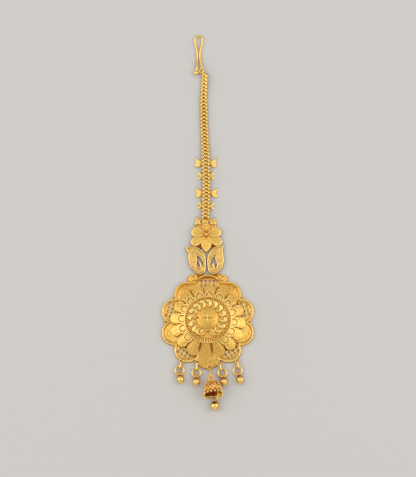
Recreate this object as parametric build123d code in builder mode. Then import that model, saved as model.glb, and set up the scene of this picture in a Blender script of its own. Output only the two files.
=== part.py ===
from build123d import *
import os
from math import atan2, cos, degrees, radians, sin, sqrt, tan

os.makedirs("parts", exist_ok=True)

# A maang tikka: a forehead pendant on a short chain with a hair hook, lying on its back.
# Millimetres. +Z is up, +Y runs from the bell at the bottom to the hook at the top.
# Points are measured from the centre of the medallion, and level() shifts that centre
# along Y so that the middle of the whole length stands over the origin.

# ---- driving dimensions -------------------------------------------------------------
HOOK_TOP = 114.6            # outer end of the hair hook, from the medallion centre
BELL_BALL_END = -35.25      # lowest point of the ball under the bell
MEDALLION_Y = -(HOOK_TOP + BELL_BALL_END) / 2

GAP = 0.05                  # air left between two stampings that are stacked
SHEET = 0.4                 # base plate and backing strip
SHELL = 0.35                # the raised tiers and the disc

LOBES = 10                  # round lobes of the base plate
LOBE_RING = 13.5            # radius of the circle of lobe centres
LOBE_RADIUS = 5.2
TOP_LOBE_RADIUS = 6.3       # the lobe under the leaves is flatter
TOP_LOBE_RING = 12.7
RIM_WIDTH = 0.85
RIM_TOP = 1.1
FIELD_RADIUS = 13.0         # flat field inside the rims
JALI_SHIFTS = {90: 0.05, 162: -0.05, 18: 0.5, 234: -0.05, 306: 0.42}   # lobe angle: sideways
JALI_PITCH = 1.6
JALI_HOLE = 0.85
JALI_OUTER_ROW = 16.15      # radius of the outermost row of holes
JALI_REACH = 3.9            # holes lie within this radius of a lobe's centre
HUB_RADIUS = 2.6            # the tube on which the tiers are stacked
HUB_WALL = 0.5

PETALS = 16
PETAL_PHASE = 86.0
PETAL_TIP = 14.8
PETAL_SLIT = 10.9
PETAL_EDGE_Z = RIM_TOP + GAP
TIER_FLAT = 8.5             # radius of the flat top of each tier
PETAL_FLAT_Z = 3.9
SCALLOP_TIP = 12.2
SCALLOP_EDGE_Z = 3.1
SCALLOP_FLAT_Z = PETAL_FLAT_Z + SHELL + GAP
DISC_RADIUS = 9.45
DISC_BOTTOM_Z = SCALLOP_FLAT_Z + SHELL + GAP
DISC_EDGE_Z = 5.5
DISC_BAND_RADIUS = 7.9
DISC_FIELD_Z = 6.0
DISC_BOSS_RADIUS = 4.3
DISC_TOP_Z = 6.8

LEAF_BASE_Z = SHEET + GAP
LEAF_TOP_Z = 1.5
FLOWER_CENTRE = (-0.65, 34.8)
FLOWER_TOP_Z = 1.9
FLOWER_PETAL_WIDTH = 3.9

CHARM_THICK = 0.6
CHAIN_WIDTH = 3.0
CHAIN_THICK = 1.4
CHAIN_CORNER = 0.6

HOOK_WIRE = 0.8
BAIL_WIRE = 0.6
BAIL_HEIGHT = 2.2
BAIL_Z = BAIL_HEIGHT / 2
EYELET_Z = 0.75
RING_RADIUS = 1.65          # centre line of the round jump rings
RING_WIRE = 0.7
RING_Z = 1.0
DROP_BALL = 3.0

BELL_HEIGHT = 6.2
BELL_MOUTH = 3.7            # outer radius at the rim
BELL_WALL = 0.35
BELL_PITCH = 8.0            # the mouth looks up by this much
BELL_LEAN = 7.5             # and the bell leans this much towards +X
GRANULES = 16
GRANULE_RADIUS = 0.5
BELL_BALL = 3.4


def level(height):
    """Horizontal plane at a height, with its origin over the medallion centre."""
    return Plane(origin=(0, MEDALLION_Y, height))


def spot(x, y, z):
    """Point in the part's frame from a place measured from the medallion centre."""
    return Vector(x, y + MEDALLION_Y, z)


def polar(radius, angle):
    """Plane vector of a length at an angle in degrees."""
    return Vector(radius * cos(radians(angle)), radius * sin(radians(angle)))


def save(piece, name):
    """Label a finished piece and write its STEP file."""
    piece.label = name
    export_step(piece, f"parts/{name}.step")


def corner_radii(points, share=0.45):
    """Arc radius for each inner corner, as large as its two runs allow."""
    radii = []
    for before, here, after in zip(points, points[1:], points[2:]):
        run_in, run_out = here - before, after - here
        half_turn = radians(run_in.get_angle(run_out)) / 2
        radii.append(share * min(run_in.length, run_out.length) / tan(half_turn))
    return radii


def oval_link(end_a, end_b, across, wire=BAIL_WIRE, height=BAIL_HEIGHT):
    """Closed oval link of round wire between its two outer ends.

    across is the direction in which the link is tall.
    """
    along = (end_b - end_a).normalized()
    plane = Plane(origin=(end_a + end_b) / 2, x_dir=along, z_dir=along.cross(across))
    reach = ((end_b - end_a).length - height) / 2
    turn = (height - wire) / 2
    with BuildPart() as link:
        with BuildLine(plane) as loop:
            Line((-reach, turn), (reach, turn))
            ThreePointArc((reach, turn), (reach + turn, 0), (reach, -turn))
            Line((reach, -turn), (-reach, -turn))
            ThreePointArc((-reach, -turn), (-reach - turn, 0), (-reach, turn))
        path = loop.wires()[0]
        with BuildSketch(Plane(origin=path @ 0, z_dir=path % 0)):
            Circle(wire / 2)
        sweep(path=path)
    return link.part


def jump_ring(centre, axis, radius, wire):
    """Round ring of round wire about an axis."""
    plane = Plane(origin=centre, z_dir=axis)
    with BuildPart(plane) as ring:
        Torus(radius, wire / 2)
    return ring.part


# ---- hair hook ----------------------------------------------------------------------
# One bent wire: ball tip, open leg, round head, closed leg, collar, eye and a short tail.
HOOK_EYE = (-2.45, 100.15)
HOOK_EYE_RADIUS = 0.75
HOOK_EYE_Z = 1.1
HOOK_EYE_WIRE = 0.6
HOOK_BALL = 1.5
HOOK_COLLAR = (-2.42, 101.3, 1.03)
HOOK_COLLAR_RADIUS = 0.68
HOOK_COLLAR_LENGTH = 0.9
HOOK_TAIL = (-3.45, 99.75, 0.62)    # middle of the wire's short tail
HOOK_TAIL_LENGTH = 1.3
HOOK_ROUTE = [
    # x, y, z of the wire's corners, from the ball tip round to the eye
    (-4.60, 99.40, 0.95),
    (-4.20, 101.20, 1.15),
    (-4.20, 104.60, 0.55),
    (-4.00, 108.40, 0.40),
    (-4.98, 111.20, 0.40),
    (-4.94, 114.20, 0.40),
    (-2.16, 114.20, 0.40),
    (-2.10, 111.30, 0.40),
    (-3.15, 108.40, 0.40),
    (-3.10, 105.40, 0.50),
    (-2.40, 102.40, 0.95),
    (-2.42, 100.90, 1.05),
]
with BuildPart() as hair_hook:
    corners = [spot(*row) for row in HOOK_ROUTE]
    with BuildLine() as route:
        FilletPolyline(*corners, radius=corner_radii(corners))
    hook_path = route.wires()[0]
    with BuildSketch(Plane(origin=hook_path @ 0, z_dir=hook_path % 0)):
        Circle(HOOK_WIRE / 2)
    sweep(path=hook_path)
    with Locations(corners[0]):
        Sphere(HOOK_BALL / 2)
    with Locations(Location(spot(*HOOK_COLLAR), (90, 0, 0))):
        Cylinder(HOOK_COLLAR_RADIUS, HOOK_COLLAR_LENGTH)
    with Locations(spot(*HOOK_EYE, HOOK_EYE_Z)):
        Torus(HOOK_EYE_RADIUS, HOOK_EYE_WIRE / 2)
    with Locations(Location(spot(*HOOK_TAIL), (0, 78, 18))):
        Cylinder(HOOK_EYE_WIRE / 2, HOOK_TAIL_LENGTH)
save(hair_hook.part, "hair_hook")

# ---- chain --------------------------------------------------------------------------
# A flat interlocked chain, here one tube of its outer section along its route, with
# the open end link that the hook ring passes through.
CHAIN_ROUTE = [
    # x, y, z of the corners, from the hook down to the crest
    (-1.35, 97.50, 0.78),
    (-1.50, 94.00, 0.72),
    (-1.68, 89.40, 0.72),
    (-1.50, 83.60, 0.72),
    (-1.42, 77.60, 0.72),
    (-1.12, 71.80, 0.76),
    (-0.82, 66.40, 1.36),
    (-0.68, 60.20, 1.38),
    (-0.52, 53.80, 1.38),
    (-0.66, 47.40, 1.40),
    (-0.90, 41.40, 1.50),
]
CHAIN_END_LINK = (-1.50, 98.15)
CHAIN_LINK_RADIUS = 0.7
CHAIN_LINK_WIRE = 0.56
chain_corners = [spot(*row) for row in CHAIN_ROUTE]
chain_radii = corner_radii(chain_corners)
print("chain radii:", [round(radius, 1) for radius in chain_radii])
with BuildPart() as chain:
    with BuildLine() as route:
        FilletPolyline(*chain_corners, radius=chain_radii)
    chain_path = route.wires()[0]
    heading = chain_path % 0
    with BuildSketch(Plane(chain_path @ 0, heading.cross(Vector(0, 0, 1)), heading)) as section:
        RectangleRounded(CHAIN_WIDTH, CHAIN_THICK, CHAIN_CORNER)
    sweep(path=chain_path)
    print("chain volume:", round(chain.part.volume, 2))
    print("section times length:", round(section.sketch.area * chain_path.length, 2))
    with Locations(spot(*CHAIN_END_LINK, HOOK_EYE_Z)):
        Torus(CHAIN_LINK_RADIUS, CHAIN_LINK_WIRE / 2)
save(chain.part, "chain")

# ---- ring between hook and chain ----------------------------------------------------
HOOK_RING_WIRE = 0.45
eye_centre = spot(*HOOK_EYE, HOOK_EYE_Z)
chain_end = spot(*CHAIN_END_LINK, HOOK_EYE_Z)
ring_lead = (chain_end - eye_centre).normalized() * HOOK_RING_WIRE / 2
hook_ring = oval_link(
    eye_centre - ring_lead, chain_end + ring_lead, Vector(0, 0, 1), wire=HOOK_RING_WIRE, height=1.9
)
save(hook_ring, "hook_ring")


# ---- charms behind the chain --------------------------------------------------------
def plate_at(x, y, turn=0.0):
    """Horizontal plane on the floor with its origin at a place and turned about it."""
    return Plane(Location(spot(x, y, 0), (0, 0, turn)))


def tulip_charm(plane):
    """Two tulip wings on a bar that runs behind the chain."""
    with BuildPart() as charm:
        with BuildSketch(plane):
            with BuildLine():
                Polyline((0, -0.6), (1.7, -0.6), (3.0, -1.95))
                ThreePointArc((3.0, -1.95), (4.1, -1.55), (4.3, -0.6))
                ThreePointArc((4.3, -0.6), (3.75, 0.5), (4.55, 1.9))
                ThreePointArc((4.55, 1.9), (2.6, 1.2), (1.7, 0.85))
                Line((1.7, 0.85), (0, 0.85))
                mirror(about=Plane.YZ)
            make_face()
        extrude(amount=CHARM_THICK)
    return charm.part


def clover_charm(plane):
    """Four round lobes on a bar that runs behind the chain."""
    with BuildPart() as charm:
        with BuildSketch(plane):
            Rectangle(4.9, 1.3)
            with GridLocations(4.9, 1.75, 2, 2):
                Circle(0.68)
            with GridLocations(3.9, 0, 2, 1):
                Rectangle(1.0, 2.0)
        extrude(amount=CHARM_THICK)
    return charm.part


save(tulip_charm(plate_at(-0.8, 63.5)), "tulip_charm_upper")
save(clover_charm(plate_at(-0.6, 58.4)), "clover_charm_upper")
save(tulip_charm(plate_at(-0.5, 51.5)), "tulip_charm_lower")
save(clover_charm(plate_at(-0.7, 46.4, turn=-4.0)), "clover_charm_lower")

# ---- crest: two tulip buds and the plain strip behind the flower ---------------------
CREST_EDGE = [
    (-6.5, 29.4), (-6.5, 31.2), (-4.4, 33.0), (-4.4, 38.0), (-5.4, 38.7), (-4.75, 40.4),
    (-4.55, 42.0), (-3.4, 41.3), (-2.4, 41.1), (-2.0, 41.9), (0.4, 41.9), (0.8, 40.8),
    (1.7, 40.9), (3.1, 41.9), (3.0, 40.3), (3.75, 39.0), (3.2, 38.2), (3.2, 33.0),
    (5.3, 31.2), (5.3, 29.4),
]
CREST_HOLES = [(-2.55, 40.0), (0.55, 39.6)]
CREST_HOLE_RADIUS = 0.45
BUD_BASE = 40.4             # above this the buds stand a little higher than the strip
BUD_TOP_Z = 0.7
with BuildPart() as crest_plate:
    with BuildSketch(level(0)) as crest_outline:
        with BuildLine():
            Polyline(*CREST_EDGE, close=True)
        make_face()
        with Locations(*CREST_HOLES):
            Circle(CREST_HOLE_RADIUS, mode=Mode.SUBTRACT)
    extrude(amount=SHEET)
    with BuildSketch(level(0)):
        add(crest_outline.sketch_local)
        with Locations((0, BUD_BASE)):
            Rectangle(30, 10, align=(Align.CENTER, Align.MIN), mode=Mode.INTERSECT)
    extrude(amount=BUD_TOP_Z)
save(crest_plate.part, "crest_plate")

# ---- leaf pair ----------------------------------------------------------------------
# Each leaf's edge runs from its horn along the top and inner side, round the foot and
# up the outer side. The cut-outs leave a flame in the middle of the leaf.
LEAVES = {
    "leaf_left": {
        "edge": [
            (-8.9, 29.7), (-6.6, 30.2), (-4.2, 29.8), (-2.3, 28.7), (-1.1, 26.8),
            (-0.65, 24.6), (-0.7, 22.2), (-0.95, 20.0), (-2.9, 18.75), (-4.9, 19.8),
            (-6.8, 21.9), (-7.6, 24.6), (-7.7, 27.2),
        ],
        "cuts": [
            [(-4.1, 26.2), (-2.8, 25.2), (-1.75, 23.4), (-1.85, 22.6), (-2.9, 23.9), (-4.0, 24.7)],
            [(-4.0, 24.1), (-4.15, 22.7), (-3.4, 21.75), (-3.2, 22.6), (-3.65, 23.6)],
        ],
    },
    "leaf_right": {
        "edge": [
            (6.5, 30.4), (4.2, 30.3), (2.3, 29.7), (0.8, 28.2), (-0.1, 26.2),
            (-0.3, 24.0), (-0.1, 21.6), (0.5, 19.7), (2.3, 18.85), (4.2, 19.8),
            (5.7, 21.8), (6.35, 24.4), (6.1, 27.2), (5.9, 28.8),
        ],
        "cuts": [
            [
                (2.5, 25.9), (3.0, 24.2), (3.5, 22.6), (3.05, 21.6), (2.65, 22.4),
                (2.55, 23.4), (1.85, 23.3), (1.25, 22.4), (0.95, 22.8), (1.35, 24.2),
            ],
        ],
    },
}
for name, leaf in LEAVES.items():
    with BuildPart() as leaf_part:
        with BuildSketch(level(LEAF_BASE_Z)):
            with BuildLine():
                Spline(*leaf["edge"])
                Line(leaf["edge"][-1], leaf["edge"][0])
            make_face()
            for cut in leaf["cuts"]:
                with BuildLine():
                    Polyline(*cut, close=True)
                make_face(mode=Mode.SUBTRACT)
        extrude(amount=LEAF_TOP_Z - LEAF_BASE_Z)
    save(leaf_part.part, name)

# ---- flower -------------------------------------------------------------------------
FLOWER_PETALS = {90: 5.2, 158: 6.1, 22: 6.1, 214: 6.9, 326: 6.9, 270: 6.8}   # angle: length
with BuildPart() as flower:
    with BuildSketch(level(LEAF_BASE_Z)):
        with Locations(FLOWER_CENTRE):
            Circle(2.6)
        for angle, length in FLOWER_PETALS.items():
            with BuildLine(Plane(Location((*FLOWER_CENTRE, 0), (0, 0, angle)))):
                side = (0.58 * length, FLOWER_PETAL_WIDTH / 2)
                ThreePointArc((0, 0), side, (length, 0))
                ThreePointArc((0, 0), (side[0], -side[1]), (length, 0))
            make_face()
    extrude(amount=FLOWER_TOP_Z - LEAF_BASE_Z)
    with Locations(spot(*FLOWER_CENTRE, FLOWER_TOP_Z)):
        Sphere(0.6)
save(flower.part, "flower")

# ---- base plate ---------------------------------------------------------------------
BAILS = [
    # x, y, z of the end at the plate, then x, y, z of the free end
    ((-10.30, -15.50, BAIL_Z), (-11.10, -19.00, BAIL_Z)),
    ((-4.20, -15.80, BAIL_Z), (-4.45, -19.75, BAIL_Z)),
    ((0.66, -17.60, 0.62), (1.24, -22.62, 3.32)),
    ((4.60, -16.45, BAIL_Z), (5.30, -19.75, BAIL_Z)),
    ((11.40, -15.40, BAIL_Z), (12.20, -19.00, BAIL_Z)),
]
EYELET_HOLE = 0.55
EYELET_RADIUS = 1.0
EYELET_ROOT = 1.4           # how far an eyelet's plate runs back over the rim
RELIEF_LENGTH = 3.0         # the rim is cut away under a bail
NOTCH_BEADS = [
    # radius, angle, bead radius
    (16.6, 177.8, 0.58), (16.6, 182.2, 0.58), (16.6, 357.8, 0.58), (16.6, 2.2, 0.58),
    (16.2, 213.8, 0.58), (16.2, 218.2, 0.58), (16.2, 326.2, 0.58), (16.2, 321.8, 0.58),
    (16.1, 141.4, 0.58), (16.8, 144.9, 0.44), (16.1, 38.6, 0.58), (16.8, 35.1, 0.44),
]
CURLS = [(-5.75, 16.9), (5.55, 16.9)]
CURL_RADIUS = 2.15
CURL_EYES = [(-5.0, 18.0), (4.8, 18.0)]
CURL_EYE_RADIUS = 1.2
CURL_WIRE = 0.5
LEAF_TABS = [(-2.9, 19.0), (2.4, 19.0)]


def lobe_circles(inset, mode=Mode.ADD):
    """The ten lobes of the plate, each smaller by the inset."""
    with Locations(polar(TOP_LOBE_RING, 90)):
        Circle(TOP_LOBE_RADIUS - inset, mode=mode)
    for number in range(1, LOBES):
        with Locations(polar(LOBE_RING, 90 + number * 360 / LOBES)):
            Circle(LOBE_RADIUS - inset, mode=mode)


def jali_holes():
    """Square holes of the lattice in every second lobe, in line with the lobe's radius."""
    for angle, shift in JALI_SHIFTS.items():
        for row in range(4):
            for column in (-1.5, -0.5, 0.5, 1.5):
                across, out = column * JALI_PITCH + shift, JALI_OUTER_ROW - row * JALI_PITCH
                if across**2 + (out - LOBE_RING) ** 2 < JALI_REACH**2:
                    place = polar(out, angle) + polar(across, angle + 90)
                    with Locations(Location((place.X, place.Y, 0), angle)):
                        Rectangle(JALI_HOLE, JALI_HOLE)


def eyelet_frame(bail):
    """Where a bail's wire stands in its eyelet, turned the way the bail leaves."""
    start, end = bail
    lead = Vector(end[0] - start[0], end[1] - start[1]).normalized()
    place = Vector(start[0], start[1]) + lead * BAIL_WIRE / 2
    return Location((place.X, place.Y, 0), degrees(atan2(lead.Y, lead.X)))


with BuildPart() as base_plate:
    with BuildSketch(level(0)):
        lobe_circles(0)
        Circle(LOBE_RING)
        with Locations(*CURLS):
            Circle(CURL_RADIUS)
        with Locations(*LEAF_TABS):
            Rectangle(2.4, 2.4)
    extrude(amount=SHEET)
    with BuildSketch(level(0)):
        jali_holes()
    extrude(amount=SHEET, mode=Mode.SUBTRACT)
    with BuildSketch(level(0)):
        lobe_circles(0)
        with Locations(*CURLS):
            Circle(CURL_RADIUS)
            Circle(CURL_RADIUS - CURL_WIRE, mode=Mode.SUBTRACT)
        lobe_circles(RIM_WIDTH, mode=Mode.SUBTRACT)
        Circle(FIELD_RADIUS, mode=Mode.SUBTRACT)
        with Locations(*CURL_EYES):
            Circle(CURL_EYE_RADIUS)
            Circle(CURL_EYE_RADIUS - CURL_WIRE, mode=Mode.SUBTRACT)
    extrude(amount=RIM_TOP)
    with BuildSketch(level(EYELET_Z)):
        for bail in BAILS:
            with Locations(eyelet_frame(bail)):
                Circle(EYELET_RADIUS)
                with Locations((-EYELET_ROOT / 2, 0)):
                    Rectangle(EYELET_ROOT, 2 * EYELET_RADIUS)
    extrude(amount=RIM_TOP - EYELET_Z)
    with BuildSketch(level(0)):
        for bail in BAILS:
            with Locations(eyelet_frame(bail)):
                Circle(EYELET_HOLE)
    extrude(amount=RIM_TOP, mode=Mode.SUBTRACT)
    with BuildSketch(level(0)):
        for bail in BAILS:
            with Locations(eyelet_frame(bail)):
                Rectangle(RELIEF_LENGTH, 2 * EYELET_HOLE, align=(Align.MIN, Align.CENTER))
    extrude(amount=EYELET_Z, mode=Mode.SUBTRACT)
    for radius, angle, bead in NOTCH_BEADS:
        place = polar(radius, angle)
        with Locations(spot(place.X, place.Y, bead + GAP)):
            Sphere(bead)
    with BuildSketch(level(SHEET)):
        Circle(HUB_RADIUS)
        Circle(HUB_RADIUS - HUB_WALL, mode=Mode.SUBTRACT)
    extrude(amount=PETAL_FLAT_Z - GAP - SHEET)
save(base_plate.part, "base_plate")

# ---- the raised tiers ---------------------------------------------------------------
MEDALLION_AXIS = Axis((0, MEDALLION_Y, 0), (0, 0, 1))
MEDALLION_SECTION = Plane(origin=(0, MEDALLION_Y, 0), x_dir=(1, 0, 0), z_dir=(0, -1, 0))


def tier_shell(edge_radius, edge_z, flat_z):
    """Round shell that slopes up from its edge to a flat top."""
    with BuildPart() as shell:
        with BuildSketch(MEDALLION_SECTION):
            with BuildLine():
                Polyline(
                    (0, flat_z),
                    (TIER_FLAT, flat_z),
                    (edge_radius, edge_z),
                    (edge_radius, edge_z + SHELL),
                    (TIER_FLAT, flat_z + SHELL),
                    (0, flat_z + SHELL),
                    close=True,
                )
            make_face()
        revolve(axis=MEDALLION_AXIS)
    return shell.part


PETAL_SHOULDER = 13.1       # radius at which a petal's straight sides turn into its tip
PETAL_ROOT_HALF = 11.0      # half of a petal's angle at the slit's inner end
PETAL_SIDE_HALF = 10.3      # and at its shoulder
with BuildPart() as petal_tier:
    add(tier_shell(PETAL_TIP, PETAL_EDGE_Z, PETAL_FLAT_Z))
    with BuildSketch(level(0)):
        Circle(PETAL_SLIT)
        for number in range(PETALS):
            middle = PETAL_PHASE + number * 360 / PETALS
            with BuildLine():
                Polyline(
                    polar(PETAL_SHOULDER, middle + PETAL_SIDE_HALF),
                    polar(PETAL_SLIT, middle + PETAL_ROOT_HALF),
                    polar(TIER_FLAT, middle + PETAL_ROOT_HALF),
                    polar(TIER_FLAT, middle - PETAL_ROOT_HALF),
                    polar(PETAL_SLIT, middle - PETAL_ROOT_HALF),
                    polar(PETAL_SHOULDER, middle - PETAL_SIDE_HALF),
                )
                ThreePointArc(
                    polar(PETAL_SHOULDER, middle - PETAL_SIDE_HALF),
                    polar(PETAL_TIP, middle),
                    polar(PETAL_SHOULDER, middle + PETAL_SIDE_HALF),
                )
            make_face()
    extrude(amount=DISC_TOP_Z, mode=Mode.INTERSECT)
save(petal_tier.part, "petal_tier")

SCALLOP_RADIUS = 2.05
SCALLOP_ROOT = 10.5         # the scallops grow together inside this radius
SCALLOP_BARE = (232.25, 299.75)   # no scallops between these angles, where the petals show
SCALLOP_BARE_RADIUS = 9.2
with BuildPart() as scallop_tier:
    add(tier_shell(SCALLOP_TIP, SCALLOP_EDGE_Z, SCALLOP_FLAT_Z))
    with BuildSketch(level(0)):
        Circle(SCALLOP_ROOT)
        with PolarLocations(SCALLOP_TIP - SCALLOP_RADIUS, PETALS, start_angle=PETAL_PHASE):
            Circle(SCALLOP_RADIUS)
        with BuildLine():
            bare_middle = sum(SCALLOP_BARE) / 2
            Polyline(
                polar(SCALLOP_BARE_RADIUS, SCALLOP_BARE[0]),
                polar(LOBE_RING, SCALLOP_BARE[0]),
                polar(2 * LOBE_RING, bare_middle),
                polar(LOBE_RING, SCALLOP_BARE[1]),
                polar(SCALLOP_BARE_RADIUS, SCALLOP_BARE[1]),
            )
            ThreePointArc(
                polar(SCALLOP_BARE_RADIUS, SCALLOP_BARE[1]),
                polar(SCALLOP_BARE_RADIUS, bare_middle),
                polar(SCALLOP_BARE_RADIUS, SCALLOP_BARE[0]),
            )
        make_face(mode=Mode.SUBTRACT)
    extrude(amount=DISC_TOP_Z, mode=Mode.INTERSECT)
save(scallop_tier.part, "scallop_tier")

with BuildPart() as centre_disc:
    inner_wall = DISC_RADIUS - SHELL
    boss_rise = DISC_TOP_Z - DISC_FIELD_Z
    boss_sphere = (DISC_BOSS_RADIUS**2 + boss_rise**2) / (2 * boss_rise)
    boss_middle = DISC_TOP_Z - boss_sphere + sqrt(boss_sphere**2 - DISC_BOSS_RADIUS**2 / 4)
    with BuildSketch(MEDALLION_SECTION):
        with BuildLine():
            Polyline(
                (0, DISC_TOP_Z - SHELL),
                (DISC_BOSS_RADIUS - 1, DISC_FIELD_Z + 0.25 - SHELL),
                (DISC_BOSS_RADIUS, DISC_FIELD_Z - SHELL),
                (DISC_BAND_RADIUS, DISC_FIELD_Z - SHELL),
                (inner_wall, DISC_EDGE_Z - SHELL),
                (inner_wall, DISC_BOTTOM_Z),
                (DISC_RADIUS, DISC_BOTTOM_Z),
                (DISC_RADIUS, DISC_EDGE_Z - 0.2),
                (DISC_RADIUS - 0.2, DISC_EDGE_Z),
                (DISC_BAND_RADIUS, DISC_FIELD_Z),
                (DISC_BOSS_RADIUS, DISC_FIELD_Z),
            )
            ThreePointArc(
                (DISC_BOSS_RADIUS, DISC_FIELD_Z),
                (DISC_BOSS_RADIUS / 2, boss_middle),
                (0, DISC_TOP_Z),
            )
            Line((0, DISC_TOP_Z), (0, DISC_TOP_Z - SHELL))
        make_face()
    revolve(axis=MEDALLION_AXIS)
save(centre_disc.part, "centre_disc")

# ---- bails, jump rings and ball drops -----------------------------------------------
UP = Vector(0, 0, 1)
for number, (start, end) in enumerate(BAILS, start=1):
    save(oval_link(spot(*start), spot(*end), UP), f"bail_{number}")

DROPS = [
    # x, y of the ring's centre, then x, y of the ball's centre
    ((-11.0, -19.3), (-10.65, -23.0)),
    ((-4.5, -20.2), (-4.5, -24.0)),
    ((5.7, -20.2), (6.3, -24.0)),
    ((11.6, -19.3), (12.6, -23.2)),
]
STRAP_WIDTH = 1.7
STRAP_INNER = 0.6
STRAP_WALL = 0.27
STRAP_SEAT = 1.52           # strap centre from the ring's centre
NECK_RADIUS = 0.55


def ball_drop(ring_centre, ball_centre):
    """Ball with a broad strap loop round the jump ring, soldered on by a short neck."""
    ball = spot(*ball_centre, DROP_BALL / 2)
    ring = spot(*ring_centre, DROP_BALL / 2)
    lead = (ball - ring).normalized()
    seat = ring + lead * STRAP_SEAT + Vector(0, 0, RING_Z - DROP_BALL / 2)
    strap = Plane(origin=seat, x_dir=lead, z_dir=lead.cross(UP))
    with BuildPart() as drop:
        with BuildSketch(strap):
            Circle(STRAP_INNER + STRAP_WALL)
        extrude(amount=STRAP_WIDTH / 2, both=True)
        with BuildSketch(Plane(origin=ball, z_dir=-lead)):
            Circle(NECK_RADIUS)
        extrude(amount=(ball - seat).length - STRAP_INNER - STRAP_WALL / 2)
        with Locations(ball):
            Sphere(DROP_BALL / 2)
        with BuildSketch(strap):
            Circle(STRAP_INNER)
        extrude(amount=STRAP_WIDTH, both=True, mode=Mode.SUBTRACT)
    return drop.part


for number, (ring_centre, ball_centre) in enumerate(DROPS, start=1):
    save(jump_ring(spot(*ring_centre, RING_Z), UP, RING_RADIUS, RING_WIRE), f"ring_{number}")
    save(ball_drop(ring_centre, ball_centre), f"ball_drop_{number}")

# ---- jhumki bell --------------------------------------------------------------------
# The bell lies on its rim. Its own frame has its origin in the middle of the mouth,
# X across the mouth and Z along the axis to the apex.
FRINGE_RADIUS = 3.65
FRINGE_OUT = 0.35           # the granules stand this far outside the mouth
MOUTH_Z = (FRINGE_RADIUS - FRINGE_OUT * tan(radians(BELL_PITCH))) * cos(radians(BELL_PITCH))
MOUTH = spot(2.2, -29.83, MOUTH_Z + GRANULE_RADIUS)
BELL_AXIS = Vector(
    -sin(radians(BELL_LEAN)) * cos(radians(BELL_PITCH)),
    cos(radians(BELL_LEAN)) * cos(radians(BELL_PITCH)),
    -sin(radians(BELL_PITCH)),
)
BELL_ACROSS = Vector(cos(radians(BELL_LEAN)), sin(radians(BELL_LEAN)), 0)
BELL_FRAME = Plane(origin=MOUTH, x_dir=BELL_ACROSS, z_dir=BELL_AXIS)
BELL_SECTION = Plane(origin=MOUTH, x_dir=BELL_ACROSS, z_dir=BELL_ACROSS.cross(BELL_AXIS))
BELL_LOOP_RADIUS = 1.08
BELL_LOOP_WIRE = 0.62
BELL_LOOP_PLACE = BELL_HEIGHT + 1.25
LINK_EYE_ANGLE = 22.0       # eye inside the bell for the lower link
LINK_EYE_PLACE = (2.55, 1.6)
LINK_EYE_RADIUS = 0.7
LINK_EYE_WIRE = 0.5


def bell_point(radius, angle, height):
    """Point of the bell in the part's frame from its own round coordinates."""
    flat = polar(radius, angle)
    return BELL_FRAME.from_local_coords(Vector(flat.X, flat.Y, height))


BALL_LOOP = spot(3.50, -31.45, 1.85)
link_eye = bell_point(LINK_EYE_PLACE[0], LINK_EYE_ANGLE, LINK_EYE_PLACE[1])
lower_lead = (BALL_LOOP - link_eye).normalized()
link_across = (bell_point(1, LINK_EYE_ANGLE, 0) - MOUTH).cross(lower_lead).normalized()
with BuildPart() as jhumki_bell:
    with BuildSketch(BELL_SECTION):
        with BuildLine():
            Line((BELL_MOUTH, 0), (BELL_MOUTH - 0.1, 1.4))
            ThreePointArc((BELL_MOUTH - 0.1, 1.4), (3.0, 4.1), (0.9, BELL_HEIGHT))
            Polyline(
                (0.9, BELL_HEIGHT),
                (0, BELL_HEIGHT),
                (0, BELL_HEIGHT - BELL_WALL),
                (0.8, BELL_HEIGHT - BELL_WALL),
            )
            ThreePointArc(
                (0.8, BELL_HEIGHT - BELL_WALL),
                (3.0 - BELL_WALL * 0.85, 4.1 - BELL_WALL * 0.6),
                (BELL_MOUTH - 0.1 - BELL_WALL, 1.4),
            )
            Polyline(
                (BELL_MOUTH - 0.1 - BELL_WALL, 1.4), (BELL_MOUTH - BELL_WALL, 0), (BELL_MOUTH, 0)
            )
        make_face()
    revolve(axis=Axis(MOUTH, BELL_AXIS))
    add(jump_ring(bell_point(0, 0, 0.2), BELL_AXIS, BELL_MOUTH, 0.6))
    for number in range(GRANULES):
        with Locations(bell_point(FRINGE_RADIUS, (number + 0.5) * 360 / GRANULES, -FRINGE_OUT)):
            Sphere(GRANULE_RADIUS)
    loop_centre = bell_point(0, 0, BELL_LOOP_PLACE)
    loop_axis = BELL_ACROSS.cross(BELL_AXIS)
    add(jump_ring(loop_centre, loop_axis, BELL_LOOP_RADIUS, BELL_LOOP_WIRE))
    add(jump_ring(link_eye, link_across, LINK_EYE_RADIUS, LINK_EYE_WIRE))
save(jhumki_bell.part, "jhumki_bell")

# ---- link and ball under the bell ---------------------------------------------------
BELL_BALL_CENTRE = spot(2.7, BELL_BALL_END + BELL_BALL / 2, BELL_BALL / 2)
BALL_CAP_RADIUS = 1.15
BALL_CAP_REACH = 1.75
LOWER_WIRE = 0.45
half_wire = lower_lead * LOWER_WIRE / 2
jhumki_link = oval_link(
    link_eye - half_wire, BALL_LOOP + half_wire, link_across, wire=LOWER_WIRE, height=1.7
)
save(jhumki_link, "jhumki_link")
with BuildPart() as jhumki_ball:
    with Locations(BELL_BALL_CENTRE):
        Sphere(BELL_BALL / 2)
    with BuildSketch(Plane(origin=BELL_BALL_CENTRE, z_dir=(0, 1, 0))):
        Circle(BALL_CAP_RADIUS)
    extrude(amount=BALL_CAP_REACH)
    add(jump_ring(BALL_LOOP, link_across, 0.6, 0.5))
save(jhumki_ball.part, "jhumki_ball")
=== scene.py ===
import functools
import itertools
import logging
from dataclasses import dataclass
from enum import Enum
from typing import Callable, Sequence

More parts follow.
